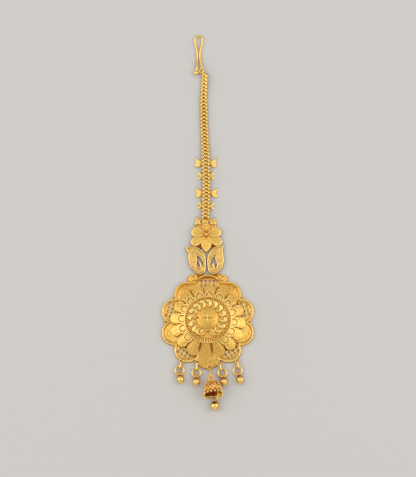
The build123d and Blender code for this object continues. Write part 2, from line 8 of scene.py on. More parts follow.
import bmesh
import bpy
import numpy as np
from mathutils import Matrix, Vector


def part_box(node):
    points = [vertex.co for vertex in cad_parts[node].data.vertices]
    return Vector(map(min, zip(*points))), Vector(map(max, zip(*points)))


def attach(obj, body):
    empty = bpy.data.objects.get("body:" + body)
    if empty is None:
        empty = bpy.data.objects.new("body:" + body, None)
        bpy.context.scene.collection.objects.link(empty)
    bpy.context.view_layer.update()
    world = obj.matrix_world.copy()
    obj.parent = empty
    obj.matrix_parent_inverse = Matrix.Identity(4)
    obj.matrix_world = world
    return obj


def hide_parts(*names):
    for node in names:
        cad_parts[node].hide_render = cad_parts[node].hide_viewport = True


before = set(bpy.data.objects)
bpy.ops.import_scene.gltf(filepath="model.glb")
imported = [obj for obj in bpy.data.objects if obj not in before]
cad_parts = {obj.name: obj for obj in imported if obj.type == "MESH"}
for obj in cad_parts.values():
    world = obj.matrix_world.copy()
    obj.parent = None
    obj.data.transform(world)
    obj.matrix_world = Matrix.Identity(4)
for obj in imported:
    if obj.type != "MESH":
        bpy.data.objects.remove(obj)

# The looks of a maang tikka that lies on its back. Every size is in millimetres and every
# plan place is measured from the middle of the medallion, with +Y towards the hair hook.
LOG = logging.getLogger("maang_tikka")
Array = np.ndarray
Place = tuple[float, ...]
Span = tuple[float, float]
Field = Callable[[Array, Array], Array]
Relief = Callable[[Array, Array, Array], Array]
Mesh = tuple[Array, list[Array], Array]
Piece = bpy.types.Object

MILLIMETRE = 0.001
DISC_LOW, DISC_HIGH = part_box("centre_disc")
MEDALLION = np.array([(DISC_LOW.x + DISC_HIGH.x) / 2, (DISC_LOW.y + DISC_HIGH.y) / 2, 0.0])
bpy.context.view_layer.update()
UP = np.array([0.0, 0.0, 1.0])
LEVEL = 0.5  # relief mark of a spot that is as high as what is round it
FAR = 9.0  # a distance beyond every reach
TINY = 1e-9  # keeps a share of nothing from a division by 0
CREASE = np.radians(42.0)  # angle from which an edge is drawn sharp


class Slot(Enum):
    """Material slots of the record."""

    STAMPED = "stamped_gold"
    POLISHED = "polished_gold"


# ---- plain mathematics ----
def unit(vector: Array) -> Array:
    """Vectors of length 1 along the last axis."""
    return vector / np.linalg.norm(vector, axis=-1, keepdims=True)


def polar(radius: float, angle: float) -> Array:
    """Plan point at a radius and an angle in degrees."""
    return radius * np.array([np.cos(np.radians(angle)), np.sin(np.radians(angle))])


def turned(x: Array, y: Array, angle: float) -> tuple[Array, Array]:
    """Coordinates of the same points from axes turned by an angle in degrees."""
    cosine, sine = np.cos(np.radians(angle)), np.sin(np.radians(angle))
    return x * cosine + y * sine, y * cosine - x * sine


def ease(low: float, high: float, value: Array) -> Array:
    """Smooth step: 0 below low, 1 above high, 3t^2 - 2t^3 between them."""
    share = np.clip((value - low) / (high - low), 0, 1)
    return share * share * (3 - 2 * share)


def hump(value: Array, width: float) -> Array:
    """Round ridge: the upper half of an ellipse as wide as width, 1 high in its middle."""
    return np.sqrt(np.clip(1 - (2 * value / width) ** 2, 0, 1))


def band(value: Array, width: float) -> Array:
    """Flat-topped ridge: 1 in its middle, falling as a fourth power to 0 at half the width."""
    return np.sqrt(np.clip(1 - (2 * value / width) ** 4, 0, 1))


def nick(value: Array, width: float) -> Array:
    """Soft line: a bell curve, 1 in its middle, that has faded at half the width."""
    return np.exp(-((3.2 * value / width) ** 2))


def dent(value: Array, width: float) -> Array:
    """Height of a wall rounded over its first width: a quarter circle from 0 up to 1."""
    return np.sqrt(np.clip(1 - (1 - np.clip(value / width, 0, 1)) ** 2, 0, 1))


def fold_angle(x: Array, y: Array, count: int, phase: float) -> tuple[Array, Array, Array]:
    """Folds the plane onto one of a ring of equal sectors.

    Args:
        x, y: plan coordinates.
        count: number of sectors.
        phase: angle in degrees of one sector's middle.

    Returns:
        Distance along the nearest sector's middle line, distance across it, and its number.
    """
    angle, radius = np.degrees(np.arctan2(y, x)) - phase, np.hypot(x, y)
    pitch = 360 / count
    number = np.round(angle / pitch)
    away = np.radians(angle - number * pitch)
    return radius * np.cos(away), radius * np.sin(away), number % count


def outline_edge(x: Array, y: Array, outline: Array) -> Array:
    """Signed distance to a closed outline: the way to its nearest side, less than 0 where a
    line to the right crosses its sides an odd number of times.

    Args:
        x, y: plan coordinates.
        outline: corners, one row each.

    Returns:
        The distances.
    """
    point = np.stack([np.ravel(x), np.ravel(y)], axis=1)[:, None, :]
    start, end = outline[None], np.roll(outline, -1, axis=0)[None]
    side, lead = end - start, point - start
    share = np.clip((lead * side).sum(2) / np.maximum((side * side).sum(2), 1e-12), 0, 1)
    away = np.linalg.norm(lead - share[..., None] * side, axis=2).min(axis=1)
    between = (start[..., 1] > point[..., 1]) != (end[..., 1] > point[..., 1])
    rise = np.where(side[..., 1] == 0, 1e-12, side[..., 1])
    crossing = start[..., 0] + (point[..., 1] - start[..., 1]) * side[..., 0] / rise
    inside = (between & (point[..., 0] < crossing)).sum(axis=1) % 2 == 1
    return np.where(inside, -away, away).reshape(np.shape(x))


def smooth_outline(corners: Sequence[Place], closed_line: bool, steps: int = 8) -> Array:
    """Catmull-Rom curve through corners: each stretch is the cubic whose end slopes are half
    the way between the neighbouring corners.

    Args:
        corners: the points that it passes through.
        closed_line: whether it returns to its first corner on a smooth curve.
        steps: points on each stretch.

    Returns:
        Points, one row each.
    """
    knots = np.array(corners, float)
    if closed_line:
        before, after, last = np.roll(knots, 1, 0), np.roll(knots, -1, 0), np.roll(knots, -2, 0)
    else:
        first, final = 2 * knots[0] - knots[1], 2 * knots[-1] - knots[-2]
        whole = np.vstack([first, knots, final])
        before, knots, after, last = whole[:-3], whole[1:-2], whole[2:-1], whole[3:]
    t = np.linspace(0, 1, steps, endpoint=False)[None, :, None]
    a, b, c, d = (row[:, None, :] for row in (before, knots, after, last))
    curve = 0.5 * (
        2 * b + (c - a) * t + (2 * a - 5 * b + 4 * c - d) * t**2 + (3 * b - a - 3 * c + d) * t**3
    )
    points = curve.reshape(-1, knots.shape[1])
    return points if closed_line else np.vstack([points, after[-1:]])


def bent_line(corners: Sequence[Place], steps: int = 8) -> Array:
    """Line drawn round its corners: a parabola at each, from the middle of one run to the
    middle of the next.

    Args:
        corners: the corners, and the line's ends.
        steps: points on each parabola.

    Returns:
        Points, one row each.
    """
    knots = np.array(corners, float)
    middles = (knots[1:] + knots[:-1]) / 2
    start, end = middles[:-1, None], middles[1:, None]
    t = np.linspace(0, 1, steps, endpoint=False)[None, :, None]
    bends = start * (1 - t) ** 2 + 2 * t * (1 - t) * knots[1:-1, None] + end * t**2
    return np.vstack([knots[:1], bends.reshape(-1, knots.shape[1]), middles[-1:], knots[-1:]])


def mean_round(values: Array, reach: int, wraps: bool) -> Array:
    """Mean of the values within reach cells along both axes, taken twice.

    Args:
        values: a grid of numbers.
        reach: cells on each side.
        wraps: whether the second axis runs round a full turn.

    Returns:
        The grid of means.
    """
    for axis in (0, 1, 0, 1):
        ends = [(0, 0), (0, 0)]
        ends[axis] = (reach + 1, reach)
        padded = np.pad(values, ends, mode="wrap" if wraps and axis == 1 else "edge")
        total = np.cumsum(padded, axis=axis)
        span, size = 2 * reach + 1, values.shape[axis]
        high = np.take(total, range(span, span + size), axis=axis)
        values = (high - np.take(total, range(size), axis=axis)) / span
    return values


def relief_marks(height: Array, metal: Array, reach: int, depth: float, wraps: bool = False) -> Array:
    """Relief marks of a height map: the height less the mean height of the metal round it,
    divided by twice a depth and added to one half.

    Args:
        height: heights on a grid.
        metal: 1 in the metal, 0 beside it.
        reach: cells on each side in the mean.
        depth: difference that marks a full hollow or crest.
        wraps: whether the second axis runs round a full turn.

    Returns:
        0 in the hollows, one half on level metal, 1 on the crests.
    """
    weight = mean_round(metal.astype(float), reach, wraps)
    mean = mean_round(height * metal, reach, wraps) / np.maximum(weight, 1e-6)
    return np.clip(LEVEL + (height - mean) / (2 * depth), 0, 1)


# ---- surfaces ----
def grid_faces(rows: int, columns: int, wrap_rows: bool, wrap_columns: bool) -> Array:
    """Four-sided faces of a grid of points, whose front is columns crossed with rows.

    Args:
        rows: points along the first axis.
        columns: points along the second axis.
        wrap_rows: whether the last row joins the first.
        wrap_columns: the same for the columns.

    Returns:
        Four point numbers for each face.
    """
    i, j = np.meshgrid(
        np.arange(rows if wrap_rows else rows - 1),
        np.arange(columns if wrap_columns else columns - 1),
        indexing="ij",
    )
    k, m = (i + 1) % rows, (j + 1) % columns
    corners = [i * columns + j, i * columns + m, k * columns + m, k * columns + j]
    return np.stack(corners, axis=-1).reshape(-1, 4)


def basis(axis: Array, across: Array) -> Array:
    """Turn to an axis: across is made square to it, and the third direction is square to both.

    Args:
        axis: where +Z turns to.
        across: direction next to which +X turns.

    Returns:
        3 by 3 turn whose columns are across, the third direction and the axis.
    """
    z = unit(np.asarray(axis, float))
    x = np.asarray(across, float)
    x = unit(x - (x @ z) * z)
    return np.stack([x, np.cross(z, x), z], axis=1)


def lathe(profile: Sequence[Place], sides: int) -> Mesh:
    """Turned shape: each profile point (radius, height) runs round +Z. A profile that climbs
    on the outside faces outwards, and radius 0 closes it at a pole.

    Args:
        profile: radius and height of each ring.
        sides: points round each ring.

    Returns:
        Points, faces and relief marks.
    """
    rings = np.array(profile, float)
    angle = np.linspace(0, 2 * np.pi, sides, endpoint=False)
    x, y = rings[:, :1] * np.cos(angle), rings[:, :1] * np.sin(angle)
    z = np.broadcast_to(rings[:, 1:2], x.shape)
    points = np.stack([x, y, z], axis=-1).reshape(-1, 3)
    return points, [grid_faces(len(rings), sides, False, True)], np.full(len(points), LEVEL)


def ball(radius: float, sides: int) -> Mesh:
    """Ball: a half circle turned about +Z."""
    angle = np.linspace(-np.pi / 2, np.pi / 2, sides // 2 + 1)
    return lathe(np.stack([radius * np.cos(angle), radius * np.sin(angle)], axis=1), sides)


def wire(
    path: Array, flat: Array, thick: float | Array, sides: int = 10, closed: bool = True,
    high: float | Array | None = None,
) -> Mesh:
    """Wire along a path: at each point an ellipse stands square to the path, with one axis
    along flat crossed with the path and the other along flat.

    Args:
        path: points of its middle line.
        flat: direction square to the path, one for all or one for each point.
        thick: width of the wire, one for all or one for each point.
        sides: points round the wire.
        closed: whether the last point joins the first. An open wire gets flat ends.
        high: height along flat of a wire that isn't round.

    Returns:
        Points, faces and relief marks.
    """
    count = len(path)
    along = np.roll(path, -1, 0) - np.roll(path, 1, 0) if closed else np.gradient(path, axis=0)
    flat = np.broadcast_to(np.asarray(flat, float), path.shape)
    side = unit(np.cross(flat, along))
    flat = unit(np.cross(along, side))
    angle = np.linspace(0, 2 * np.pi, sides, endpoint=False)[None, :, None]
    half, tall = (
        np.broadcast_to(np.asarray(size, float), count)[:, None, None] / 2
        for size in (thick, thick if high is None else high)
    )
    ring = half * np.cos(angle) * side[:, None] + tall * np.sin(angle) * flat[:, None]
    points = (path[:, None] + ring).reshape(-1, 3)
    faces = [grid_faces(count, sides, closed, True)]
    if not closed:
        around = np.arange(sides)
        after, last = (around + 1) % sides, (count - 1) * sides
        start, end = count * sides, count * sides + 1
        faces.append(np.stack([np.full(sides, start), after, around], axis=1))
        faces.append(np.stack([np.full(sides, end), last + around, last + after], axis=1))
        points = np.vstack([points, path[0], path[-1]])
    return points, faces, np.full(len(points), LEVEL)


def ring_path(radius: float, steps: int, stretch: float = 0.0) -> Array:
    """Oval in the XY plane: two half circles, stretch apart along X.

    Args:
        radius: radius of both half circles.
        steps: points round the oval.
        stretch: distance between the half circles' middles.

    Returns:
        The points, one row each.
    """
    angle = np.linspace(0, 2 * np.pi, steps, endpoint=False) + np.pi / steps
    x = radius * np.cos(angle) + np.sign(np.cos(angle)) * stretch / 2
    return np.stack([x, radius * np.sin(angle), np.zeros(steps)], axis=1)


def moved(mesh: Mesh, turn: Array, place: Array) -> Mesh:
    """A mesh turned and put at a place."""
    points, faces, marks = mesh
    return points @ turn.T + np.asarray(place, float), faces, marks


def repeated(mesh: Mesh, turns: Array, places: Array) -> Mesh:
    """Copies of a mesh, joined.

    Args:
        mesh: points, faces and relief marks.
        turns: one 3 by 3 turn for each copy. Where they mirror, the faces are wound again.
        places: one place for each copy.

    Returns:
        Points, faces and relief marks of all copies.
    """
    points, faces, marks = mesh
    copies = np.einsum("kij,nj->kni", turns, points) + places[:, None]
    shift = (np.arange(len(places)) * len(points))[:, None, None]
    mirrored = np.linalg.det(turns[0]) < 0
    wound = [part[:, ::-1] if mirrored else part for part in faces]
    joined = [(part[None] + shift).reshape(-1, part.shape[1]) for part in wound]
    return copies.reshape(-1, 3), joined, np.tile(marks, len(places))


def granules(radius: float, places: Array, sides: int = 12) -> Mesh:
    """Small solid balls at places."""
    return repeated(ball(radius, sides), np.broadcast_to(np.eye(3), (len(places), 3, 3)), places)


def flat(height: float) -> Relief:
    """Underside at one height."""
    return lambda x, y, z: np.full_like(x, height)


def room_round(outline: Array, room: float = 0.3) -> Place:
    """Lowest x, highest x, lowest y and highest y of an outline, with room on each side."""
    low, high = outline.min(axis=0) - room, outline.max(axis=0) + room
    return low[0], high[0], low[1], high[1]


@dataclass
class Stamping:
    """Sheet that is cut to an outline and pressed to a height map.

    The sheet is a square grid. Each grid point within half a cell of the outline slides on to
    it, cells outside are dropped, and a wall joins the top to the underside along the cut.
    """

    edge: Field  # signed distance to the outline, less than 0 in the metal
    top: Relief  # height from the plan place and the distance inside the outline
    under: Relief  # height of the underside, from the plan place and the top's height
    box: Place  # lowest x, highest x, lowest y, highest y of the grid
    step: float  # size of a cell
    depth: float = 0.25  # height difference of a full hollow or crest
    reach: float = 0.55  # distance over which hollows and crests are judged

    def mesh(self) -> Mesh:
        """Cuts the grid to the outline and lifts it to the height map.

        Returns:
            Points, faces and relief marks of the sheet.
        """
        step = self.step
        x, y = np.meshgrid(
            np.arange(self.box[0], self.box[1] + step, step),
            np.arange(self.box[2], self.box[3] + step, step),
            indexing="ij",
        )
        away = self.edge(x, y)
        near = np.abs(away) < 0.5 * step
        x[near], y[near] = self._slid(x[near], y[near])
        state = np.where(near, 0, np.sign(away)).astype(int)
        inside = np.where(near, 0.0, np.maximum(-away, 0))
        height = self.top(x, y, inside)
        marks = relief_marks(height, state <= 0, max(1, round(self.reach / step)), self.depth)
        return self._closed((x, y, height, marks), *self._faces(x, y, state))

    def _slid(self, x: Array, y: Array) -> tuple[Array, Array]:
        """Slides points down the slope of the distance, three times, until they lie on the outline.

        Args:
            x, y: plan coordinates.

        Returns:
            The new plan coordinates.
        """
        nudge = 0.05 * self.step
        for _ in range(3):
            here = self.edge(x, y)
            slope_x = (self.edge(x + nudge, y) - self.edge(x - nudge, y)) / (2 * nudge)
            slope_y = (self.edge(x, y + nudge) - self.edge(x, y - nudge)) / (2 * nudge)
            steepness = np.maximum(slope_x**2 + slope_y**2, 0.3)
            x, y = x - here * slope_x / steepness, y - here * slope_y / steepness
        return x, y

    def _in_metal(self, x: Array, y: Array, state: Array, faces: Array) -> Array:
        """Whether faces lie in the metal: no corner is outside, and where all of them are on
        the outline, their middle is inside it.

        Args:
            x, y: plan coordinates of the grid.
            state: -1 in the metal, 0 on the outline, 1 outside.
            faces: corner numbers, one row for each face.

        Returns:
            True for each face to keep.
        """
        states = state.ravel()[faces]
        keep = (states <= 0).all(axis=1)
        unsure = keep & (states == 0).all(axis=1)
        middle_x, middle_y = (grid.ravel()[faces[unsure]].mean(axis=1) for grid in (x, y))
        keep[unsure] = self.edge(middle_x, middle_y) < 0
        return keep

    def _faces(self, x: Array, y: Array, state: Array) -> tuple[Array, Array]:
        """Faces of the top: whole cells, and half cells along the cut.

        Args:
            x, y: plan coordinates of the grid.
            state: -1 in the metal, 0 on the outline, 1 outside.

        Returns:
            Four-sided and three-sided faces.
        """
        number = np.arange(x.size).reshape(x.shape)
        cut = [np.s_[:-1, :-1], np.s_[1:, :-1], np.s_[1:, 1:], np.s_[:-1, 1:]]
        corner, corner_state = (
            np.stack([grid[part].ravel() for part in cut], axis=1) for grid in (number, state)
        )
        whole = (corner_state <= 0).all(axis=1) & ((corner_state < 0).sum(axis=1) > 0)
        quads, rest, rest_state = corner[whole], corner[~whole], corner_state[~whole]
        other = (rest_state[:, 1] == 0) & (rest_state[:, 3] == 0)
        other &= (rest_state[:, 0] > 0) | (rest_state[:, 2] > 0)
        straight, crossed = rest[~other], rest[other]
        halves = np.vstack(
            [straight[:, [0, 1, 2]], straight[:, [0, 2, 3]], crossed[:, [0, 1, 3]], crossed[:, [1, 2, 3]]]
        )
        return quads, halves[self._in_metal(x, y, state, halves)]

    def _closed(self, grids: Sequence[Array], quads: Array, triangles: Array) -> Mesh:
        """Adds the underside and the walls, and drops the points that no face uses.

        Args:
            grids: plan coordinates x and y, heights and relief marks of the grid.
            quads: four-sided faces of the top.
            triangles: three-sided faces of the top.

        Returns:
            Points, faces and relief marks.
        """
        used, flat = np.unique(np.concatenate([quads.ravel(), triangles.ravel()]), return_inverse=True)
        quads, triangles = flat[: quads.size].reshape(-1, 4), flat[quads.size :].reshape(-1, 3)
        x, y, height, marks = (grid.ravel()[used] for grid in grids)
        count = len(used)
        start = np.concatenate([part.ravel() for part in (quads, triangles)])
        end = np.concatenate([np.roll(part, -1, axis=1).ravel() for part in (quads, triangles)])
        rim = ~np.isin(start * count + end, end * count + start)
        start, end = start[rim], end[rim]
        walls = np.stack([start + count, end + count, end, start], axis=1)
        floor = np.stack([x, y, self.under(x, y, height)], axis=1)
        points = np.vstack([np.stack([x, y, height], axis=1), floor])
        faces = [quads, triangles, quads[:, ::-1] + count, triangles[:, ::-1] + count, walls]
        return points, faces, np.concatenate([marks, np.full(count, LEVEL)])


# ---- finishes ----
Colour = tuple[float, float, float]
Socket = bpy.types.NodeSocket

HOLLOW_SHADE_MARKS = (-0.12, 0.44)  # relief marks over which painted shade fades, from the deepest hollow up to level metal
CREST_HIGHLIGHT_MARKS = (0.55, 0.9)  # relief marks over which a painted highlight grows, from level metal up to the highest crest
SPOT_NOISE = (0.8, 2.0)  # size in millimetres and detail of the darker spots
SPOT_TINT = (0.78, 0.66, 0.5)  # what the spots leave of red, green and blue
CLOUD_NOISE = (2.2, 3.0)  # size in millimetres and detail of the patches of gloss
SPOT_LEVELS = (0.42, 0.72)  # noise between which a spot comes up
CLOUD_LEVELS = (0.25, 0.75)  # noise between which the gloss changes
CLOUD_GLOSS = 0.12  # share by which those patches change the roughness
GRAIN_HEIGHT = 0.3  # height of the matt grain as a share of its size
MERGE_DISTANCE = 2e-7  # metres within which points are one


@dataclass(frozen=True)
class NodeBench:
    """Lays out the shader nodes of one material."""

    tree: bpy.types.NodeTree
    place: Socket

    def noise(self, size: float, detail: float) -> Socket:
        """Cloud noise in the piece's own frame.

        Args:
            size: size of its spots in millimetres.
            detail: number of finer layers on top.

        Returns:
            The noise, from 0 to 1.
        """
        node = self.tree.nodes.new("ShaderNodeTexNoise")
        node.inputs["Scale"].default_value = 1 / (size * MILLIMETRE)
        node.inputs["Detail"].default_value = detail
        self.tree.links.new(self.place, node.inputs["Vector"])
        return node.outputs["Fac"]

    def span(self, value: Socket, before: tuple[float, float], after: tuple[float, float]) -> Socket:
        """Smooth step from one range to another.

        Args:
            value: the number to map.
            before: where the step starts and ends.
            after: the results there.

        Returns:
            The mapped number.
        """
        node = self.tree.nodes.new("ShaderNodeMapRange")
        node.interpolation_type = "SMOOTHSTEP"
        for name, number in zip(("From Min", "From Max", "To Min", "To Max"), before + after):
            node.inputs[name].default_value = number
        self.tree.links.new(value, node.inputs["Value"])
        return node.outputs["Result"]

    def blend(self, share: Socket, first: Socket | Colour | float, second: Socket | Colour | float) -> Socket:
        """Mix of two colours or of two numbers.

        Args:
            share: how much of the second is taken, from 0 to 1.
            first: a colour or a number, or a socket that gives one.
            second: a plain colour or a plain number of the same kind.

        Returns:
            The mixed colour or number.
        """
        is_colour = isinstance(second, tuple)
        kind = "RGBA" if is_colour else "VALUE"
        node = self.tree.nodes.new("ShaderNodeMix")
        node.data_type = "RGBA" if is_colour else "FLOAT"
        start, end = (part for part in node.inputs if part.name in "AB" and part.type == kind)
        self.tree.links.new(share, node.inputs[0])
        for socket, value in ((start, first), (end, second)):
            if isinstance(value, bpy.types.NodeSocket):
                self.tree.links.new(value, socket)
            else:
                socket.default_value = (*value, 1.0) if is_colour else value
        return next(part for part in node.outputs if part.type == kind)


@dataclass(frozen=True)
class GoldFinish:
    """Gold plate whose hollows carry painted shade and are rougher, and whose crests carry a painted
    highlight.
    """

    name: str
    colour: Colour  # reflectance of level metal
    hollow_shade: Colour  # painted shade at the bottom of a recess
    crest_highlight: Colour  # painted highlight on raised edges and crests
    roughness: float
    hollow_roughness: float
    crest_roughness: float
    grain: float  # size in millimetres of the fine matt grain
    grain_depth: float  # strength of the grain, from 0 to 1
    mottle: float = 0.8  # strength of the darker spots on level metal, from 0 to 1

    def material(self) -> bpy.types.Material:
        """The material, made once."""
        made = bpy.data.materials.get(self.name)
        return made if made else self._made()

    def _made(self) -> bpy.types.Material:
        """Builds the nodes: relief marks and two sizes of noise steer colour, gloss and bump. The marks paint
        shade into the hollows and highlights on the crests.

        Returns:
            The new material.
        """
        material = bpy.data.materials.new(self.name)
        material.use_nodes = True
        nodes, links = material.node_tree.nodes, material.node_tree.links
        shader = nodes["Principled BSDF"]
        shader.inputs["Metallic"].default_value = 1.0
        bench = NodeBench(material.node_tree, nodes.new("ShaderNodeTexCoord").outputs["Object"])
        relief = nodes.new("ShaderNodeAttribute")
        relief.attribute_name = "relief"
        mark = relief.outputs["Fac"]
        # deep is the share of painted shade, high the share of painted highlight
        deep = bench.span(mark, HOLLOW_SHADE_MARKS, (1.0, 0.0))
        high = bench.span(mark, CREST_HIGHLIGHT_MARKS, (0.0, 1.0))
        spots = bench.span(bench.noise(*SPOT_NOISE), SPOT_LEVELS, (0.0, self.mottle))
        worn = tuple(share * part for share, part in zip(SPOT_TINT, self.colour))
        raised = bench.blend(high, bench.blend(spots, self.colour, worn), self.crest_highlight)
        links.new(bench.blend(deep, raised, self.hollow_shade), shader.inputs["Base Color"])
        least, most = (self.roughness * (1 + side * CLOUD_GLOSS) for side in (-1, 1))
        level_gloss = bench.span(bench.noise(*CLOUD_NOISE), CLOUD_LEVELS, (least, most))
        raised_gloss = bench.blend(high, level_gloss, self.crest_roughness)
        links.new(bench.blend(deep, raised_gloss, self.hollow_roughness), shader.inputs["Roughness"])
        bump = nodes.new("ShaderNodeBump")
        bump.inputs["Strength"].default_value = self.grain_depth
        bump.inputs["Distance"].default_value = GRAIN_HEIGHT * self.grain * MILLIMETRE
        links.new(bench.noise(self.grain, 2.0), bump.inputs["Height"])
        links.new(bump.outputs["Normal"], shader.inputs["Normal"])
        return material


SATIN = GoldFinish(
    "satin_gold", (0.93, 0.57, 0.135), (0.4, 0.1, 0.015), (1.0, 0.76, 0.25), 0.34, 0.5, 0.22, 0.5, 0.7
)
MATT = GoldFinish(
    "matt_gold", (0.87, 0.53, 0.12), (0.43, 0.11, 0.016), (1.0, 0.77, 0.24), 0.38, 0.52, 0.22, 0.45, 0.8
)
BRUSHED = GoldFinish(
    "brushed_gold", (0.84, 0.54, 0.165), (0.42, 0.12, 0.02), (1.0, 0.8, 0.34), 0.36, 0.5, 0.22, 0.4, 0.9, 0.95
)
BRIGHT = GoldFinish(
    "bright_gold", (0.94, 0.57, 0.14), (0.26, 0.045, 0.006), (1.0, 0.76, 0.27), 0.2, 0.4, 0.16, 0.5, 0.12, 0.3
)
MIRROR = GoldFinish(
    "mirror_gold", (1.0, 0.67, 0.19), (0.38, 0.12, 0.02), (1.0, 0.74, 0.25), 0.19, 0.3, 0.15, 0.8, 0.06, 0.15
)
FILIGREE = GoldFinish(
    "filigree_gold", (0.95, 0.56, 0.13), (0.46, 0.085, 0.01), (1.0, 0.76, 0.26), 0.26, 0.5, 0.2, 0.25, 0.3
)


class Work:
    """Points, faces and relief marks of one piece while it is put together."""

    def __init__(self, name: str) -> None:
        """Starts an empty piece with its name."""
        self.name = name
        self.parts: list[Mesh] = []

    def add(self, mesh: Mesh, relief: float | None = None) -> "Work":
        """Adds a mesh, with one relief mark for all of it if that is given.

        Args:
            mesh: points, faces and relief marks.
            relief: the mark that replaces the mesh's own.

        Returns:
            This piece.
        """
        points, faces, marks = mesh
        self.parts.append((points, faces, marks if relief is None else np.full(len(points), relief)))
        return self

    def piece(self, finish: GoldFinish, slot: Slot, *nodes: str) -> Piece:
        """Makes the object, merges its seams and poles, and hands it to the frame.

        Args:
            finish: its finish.
            slot: the record's material slot; not used.
            nodes: the CAD nodes that it stands for.

        Returns:
            The object.
        """
        counts = np.cumsum([0] + [len(points) for points, _, _ in self.parts])
        points = np.vstack([points for points, _, _ in self.parts]) * MILLIMETRE + MEDALLION
        faces = [
            part + first for first, (_, parts, _) in zip(counts, self.parts) for part in parts if len(part)
        ]
        mesh = bpy.data.meshes.new(self.name)
        mesh.vertices.add(len(points))
        mesh.vertices.foreach_set("co", points.astype(np.float32).ravel())
        corners = np.concatenate([part.ravel() for part in faces]).astype(np.int32)
        sizes = np.concatenate([np.full(len(part), part.shape[1]) for part in faces])
        mesh.loops.add(len(corners))
        mesh.loops.foreach_set("vertex_index", corners)
        mesh.polygons.add(len(sizes))
        mesh.polygons.foreach_set("loop_start", (np.cumsum(sizes) - sizes).astype(np.int32))
        mesh.update(calc_edges=True)
        # the relief marks choose the painted shade, the level colour or the painted highlight of each point
        marks = mesh.attributes.new("relief", "FLOAT", "POINT")
        marks.data.foreach_set("value", np.concatenate([m for _, _, m in self.parts]).astype(np.float32))
        self._merged(mesh)
        mesh.polygons.foreach_set("use_smooth", np.ones(len(mesh.polygons), bool))
        mesh.set_sharp_from_angle(angle=CREASE)
        mesh.materials.append(finish.material())
        shown = bpy.data.objects.new(self.name, mesh)
        bpy.context.scene.collection.objects.link(shown)
        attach(shown, "root")
        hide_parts(*nodes)
        lowest = points[:, 2].min() / MILLIMETRE
        LOG.info("%s: %d faces, %s, lowest %.3f mm", self.name, len(mesh.polygons), finish.name, lowest)
        return shown

    @staticmethod
    def _merged(mesh: bpy.types.Mesh) -> None:
        """Merges points that coincide, so that seams and poles are closed.

        Args:
            mesh: the mesh, in metres.
        """
        work = bmesh.new()
        work.from_mesh(mesh)
        bmesh.ops.remove_doubles(work, verts=work.verts, dist=MERGE_DISTANCE)
        work.to_mesh(mesh)
        work.free()


def boss(
    outline: Array, centre: Place, form: Field, relief: Relief,
    thick: float, rings: int = 14, depth: float = 0.2,
) -> Mesh:
    """Raised shape with a rim of its own: rings of points shrink from the outline to a centre,
    and each is lifted to the form plus the relief. A wall and a flat underside close it.

    Args:
        outline: plan points of the rim, counter-clockwise.
        centre: plan point that sees all of the rim.
        form: smooth height from the plan place.
        relief: height above it from the plan place and the distance inside the rim.
        thick: depth of the underside below the form.
        rings: rings between the rim and the centre.
        depth: relief of a full hollow or crest.

    Returns:
        Points, faces and relief marks.
    """
    share = (np.arange(rings) / rings) ** 1.15
    plan = outline[None] + (np.array(centre) - outline)[None] * share[:, None, None]
    x = np.append(plan[..., 0].ravel(), centre[0])
    y = np.append(plan[..., 1].ravel(), centre[1])
    inside = np.maximum(-outline_edge(x, y, outline), 0)
    lift = relief(x, y, inside)
    top = np.stack([x, y, form(x, y) + lift], axis=1)
    count = len(outline)
    low_x, low_y = np.append(outline[:, 0], centre[0]), np.append(outline[:, 1], centre[1])
    floor = np.stack([low_x, low_y, form(low_x, low_y) - thick], axis=1)
    around = np.arange(count)
    after, base = (around + 1) % count, len(top)
    last = (rings - 1) * count
    faces = [
        grid_faces(rings, count, False, True),
        np.stack([last + around, last + after, np.full(count, rings * count)], axis=1),
        np.stack([base + around, base + after, after, around], axis=1),
        np.stack([base + after, base + around, np.full(count, base + count)], axis=1),
    ]
    marks = np.clip(LEVEL + lift / (2 * depth), 0, 1)
    return np.vstack([top, floor]), faces, np.concatenate([marks, np.full(count + 1, LEVEL)])


def upright_turns(angles: Array) -> Array:
    """Turns about +Z.

    Args:
        angles: angles in degrees.

    Returns:
        One 3 by 3 turn for each angle.
    """
    turn = np.radians(np.asarray(angles, float))
    cosine, sine, zero = np.cos(turn), np.sin(turn), np.zeros(len(turn))
    rows = [[cosine, -sine, zero], [sine, cosine, zero], [zero, zero, zero + 1]]
    return np.array(rows).transpose(2, 0, 1)


def spun(mesh: Mesh, angles: Sequence[float]) -> Mesh:
    """Copies of a mesh turned about +Z by angles in degrees."""
    return repeated(mesh, upright_turns(angles), np.zeros((len(angles), 3)))


def arc_points(centre: Place, radius: float, start: float, end: float, steps: int) -> Array:
    """Plan points on a circular arc, from a start to an end angle in degrees."""
    angle = np.radians(np.linspace(start, end, steps))
    return np.array(centre) + radius * np.stack([np.cos(angle), np.sin(angle)], axis=1)


def dense(corners: Array, step: float) -> Array:
    """Closed outline with extra points, so that no side is longer than about a step.

    Args:
        corners: the outline's corners, one row each.
        step: length of the new sides.

    Returns:
        The points, one row each.
    """
    runs = []
    for start, end in zip(corners, np.roll(corners, -1, axis=0)):
        parts = max(1, int(np.ceil(np.linalg.norm(end - start) / step)))
        runs.append(start + (end - start) * np.arange(parts)[:, None] / parts)
    return np.vstack(runs)


# ---- the medallion ----
BAILS = [
    # x, y, z of the end at the plate, then x, y, z of the free end
    ((-10.30, -15.50, 1.1), (-11.10, -19.00, 1.1)),
    ((-4.20, -15.80, 1.1), (-4.45, -19.75, 1.1)),
    ((0.66, -17.60, 0.62), (1.24, -22.62, 3.32)),
    ((4.60, -16.45, 1.1), (5.30, -19.75, 1.1)),
    ((11.40, -15.40, 1.1), (12.20, -19.00, 1.1)),
]


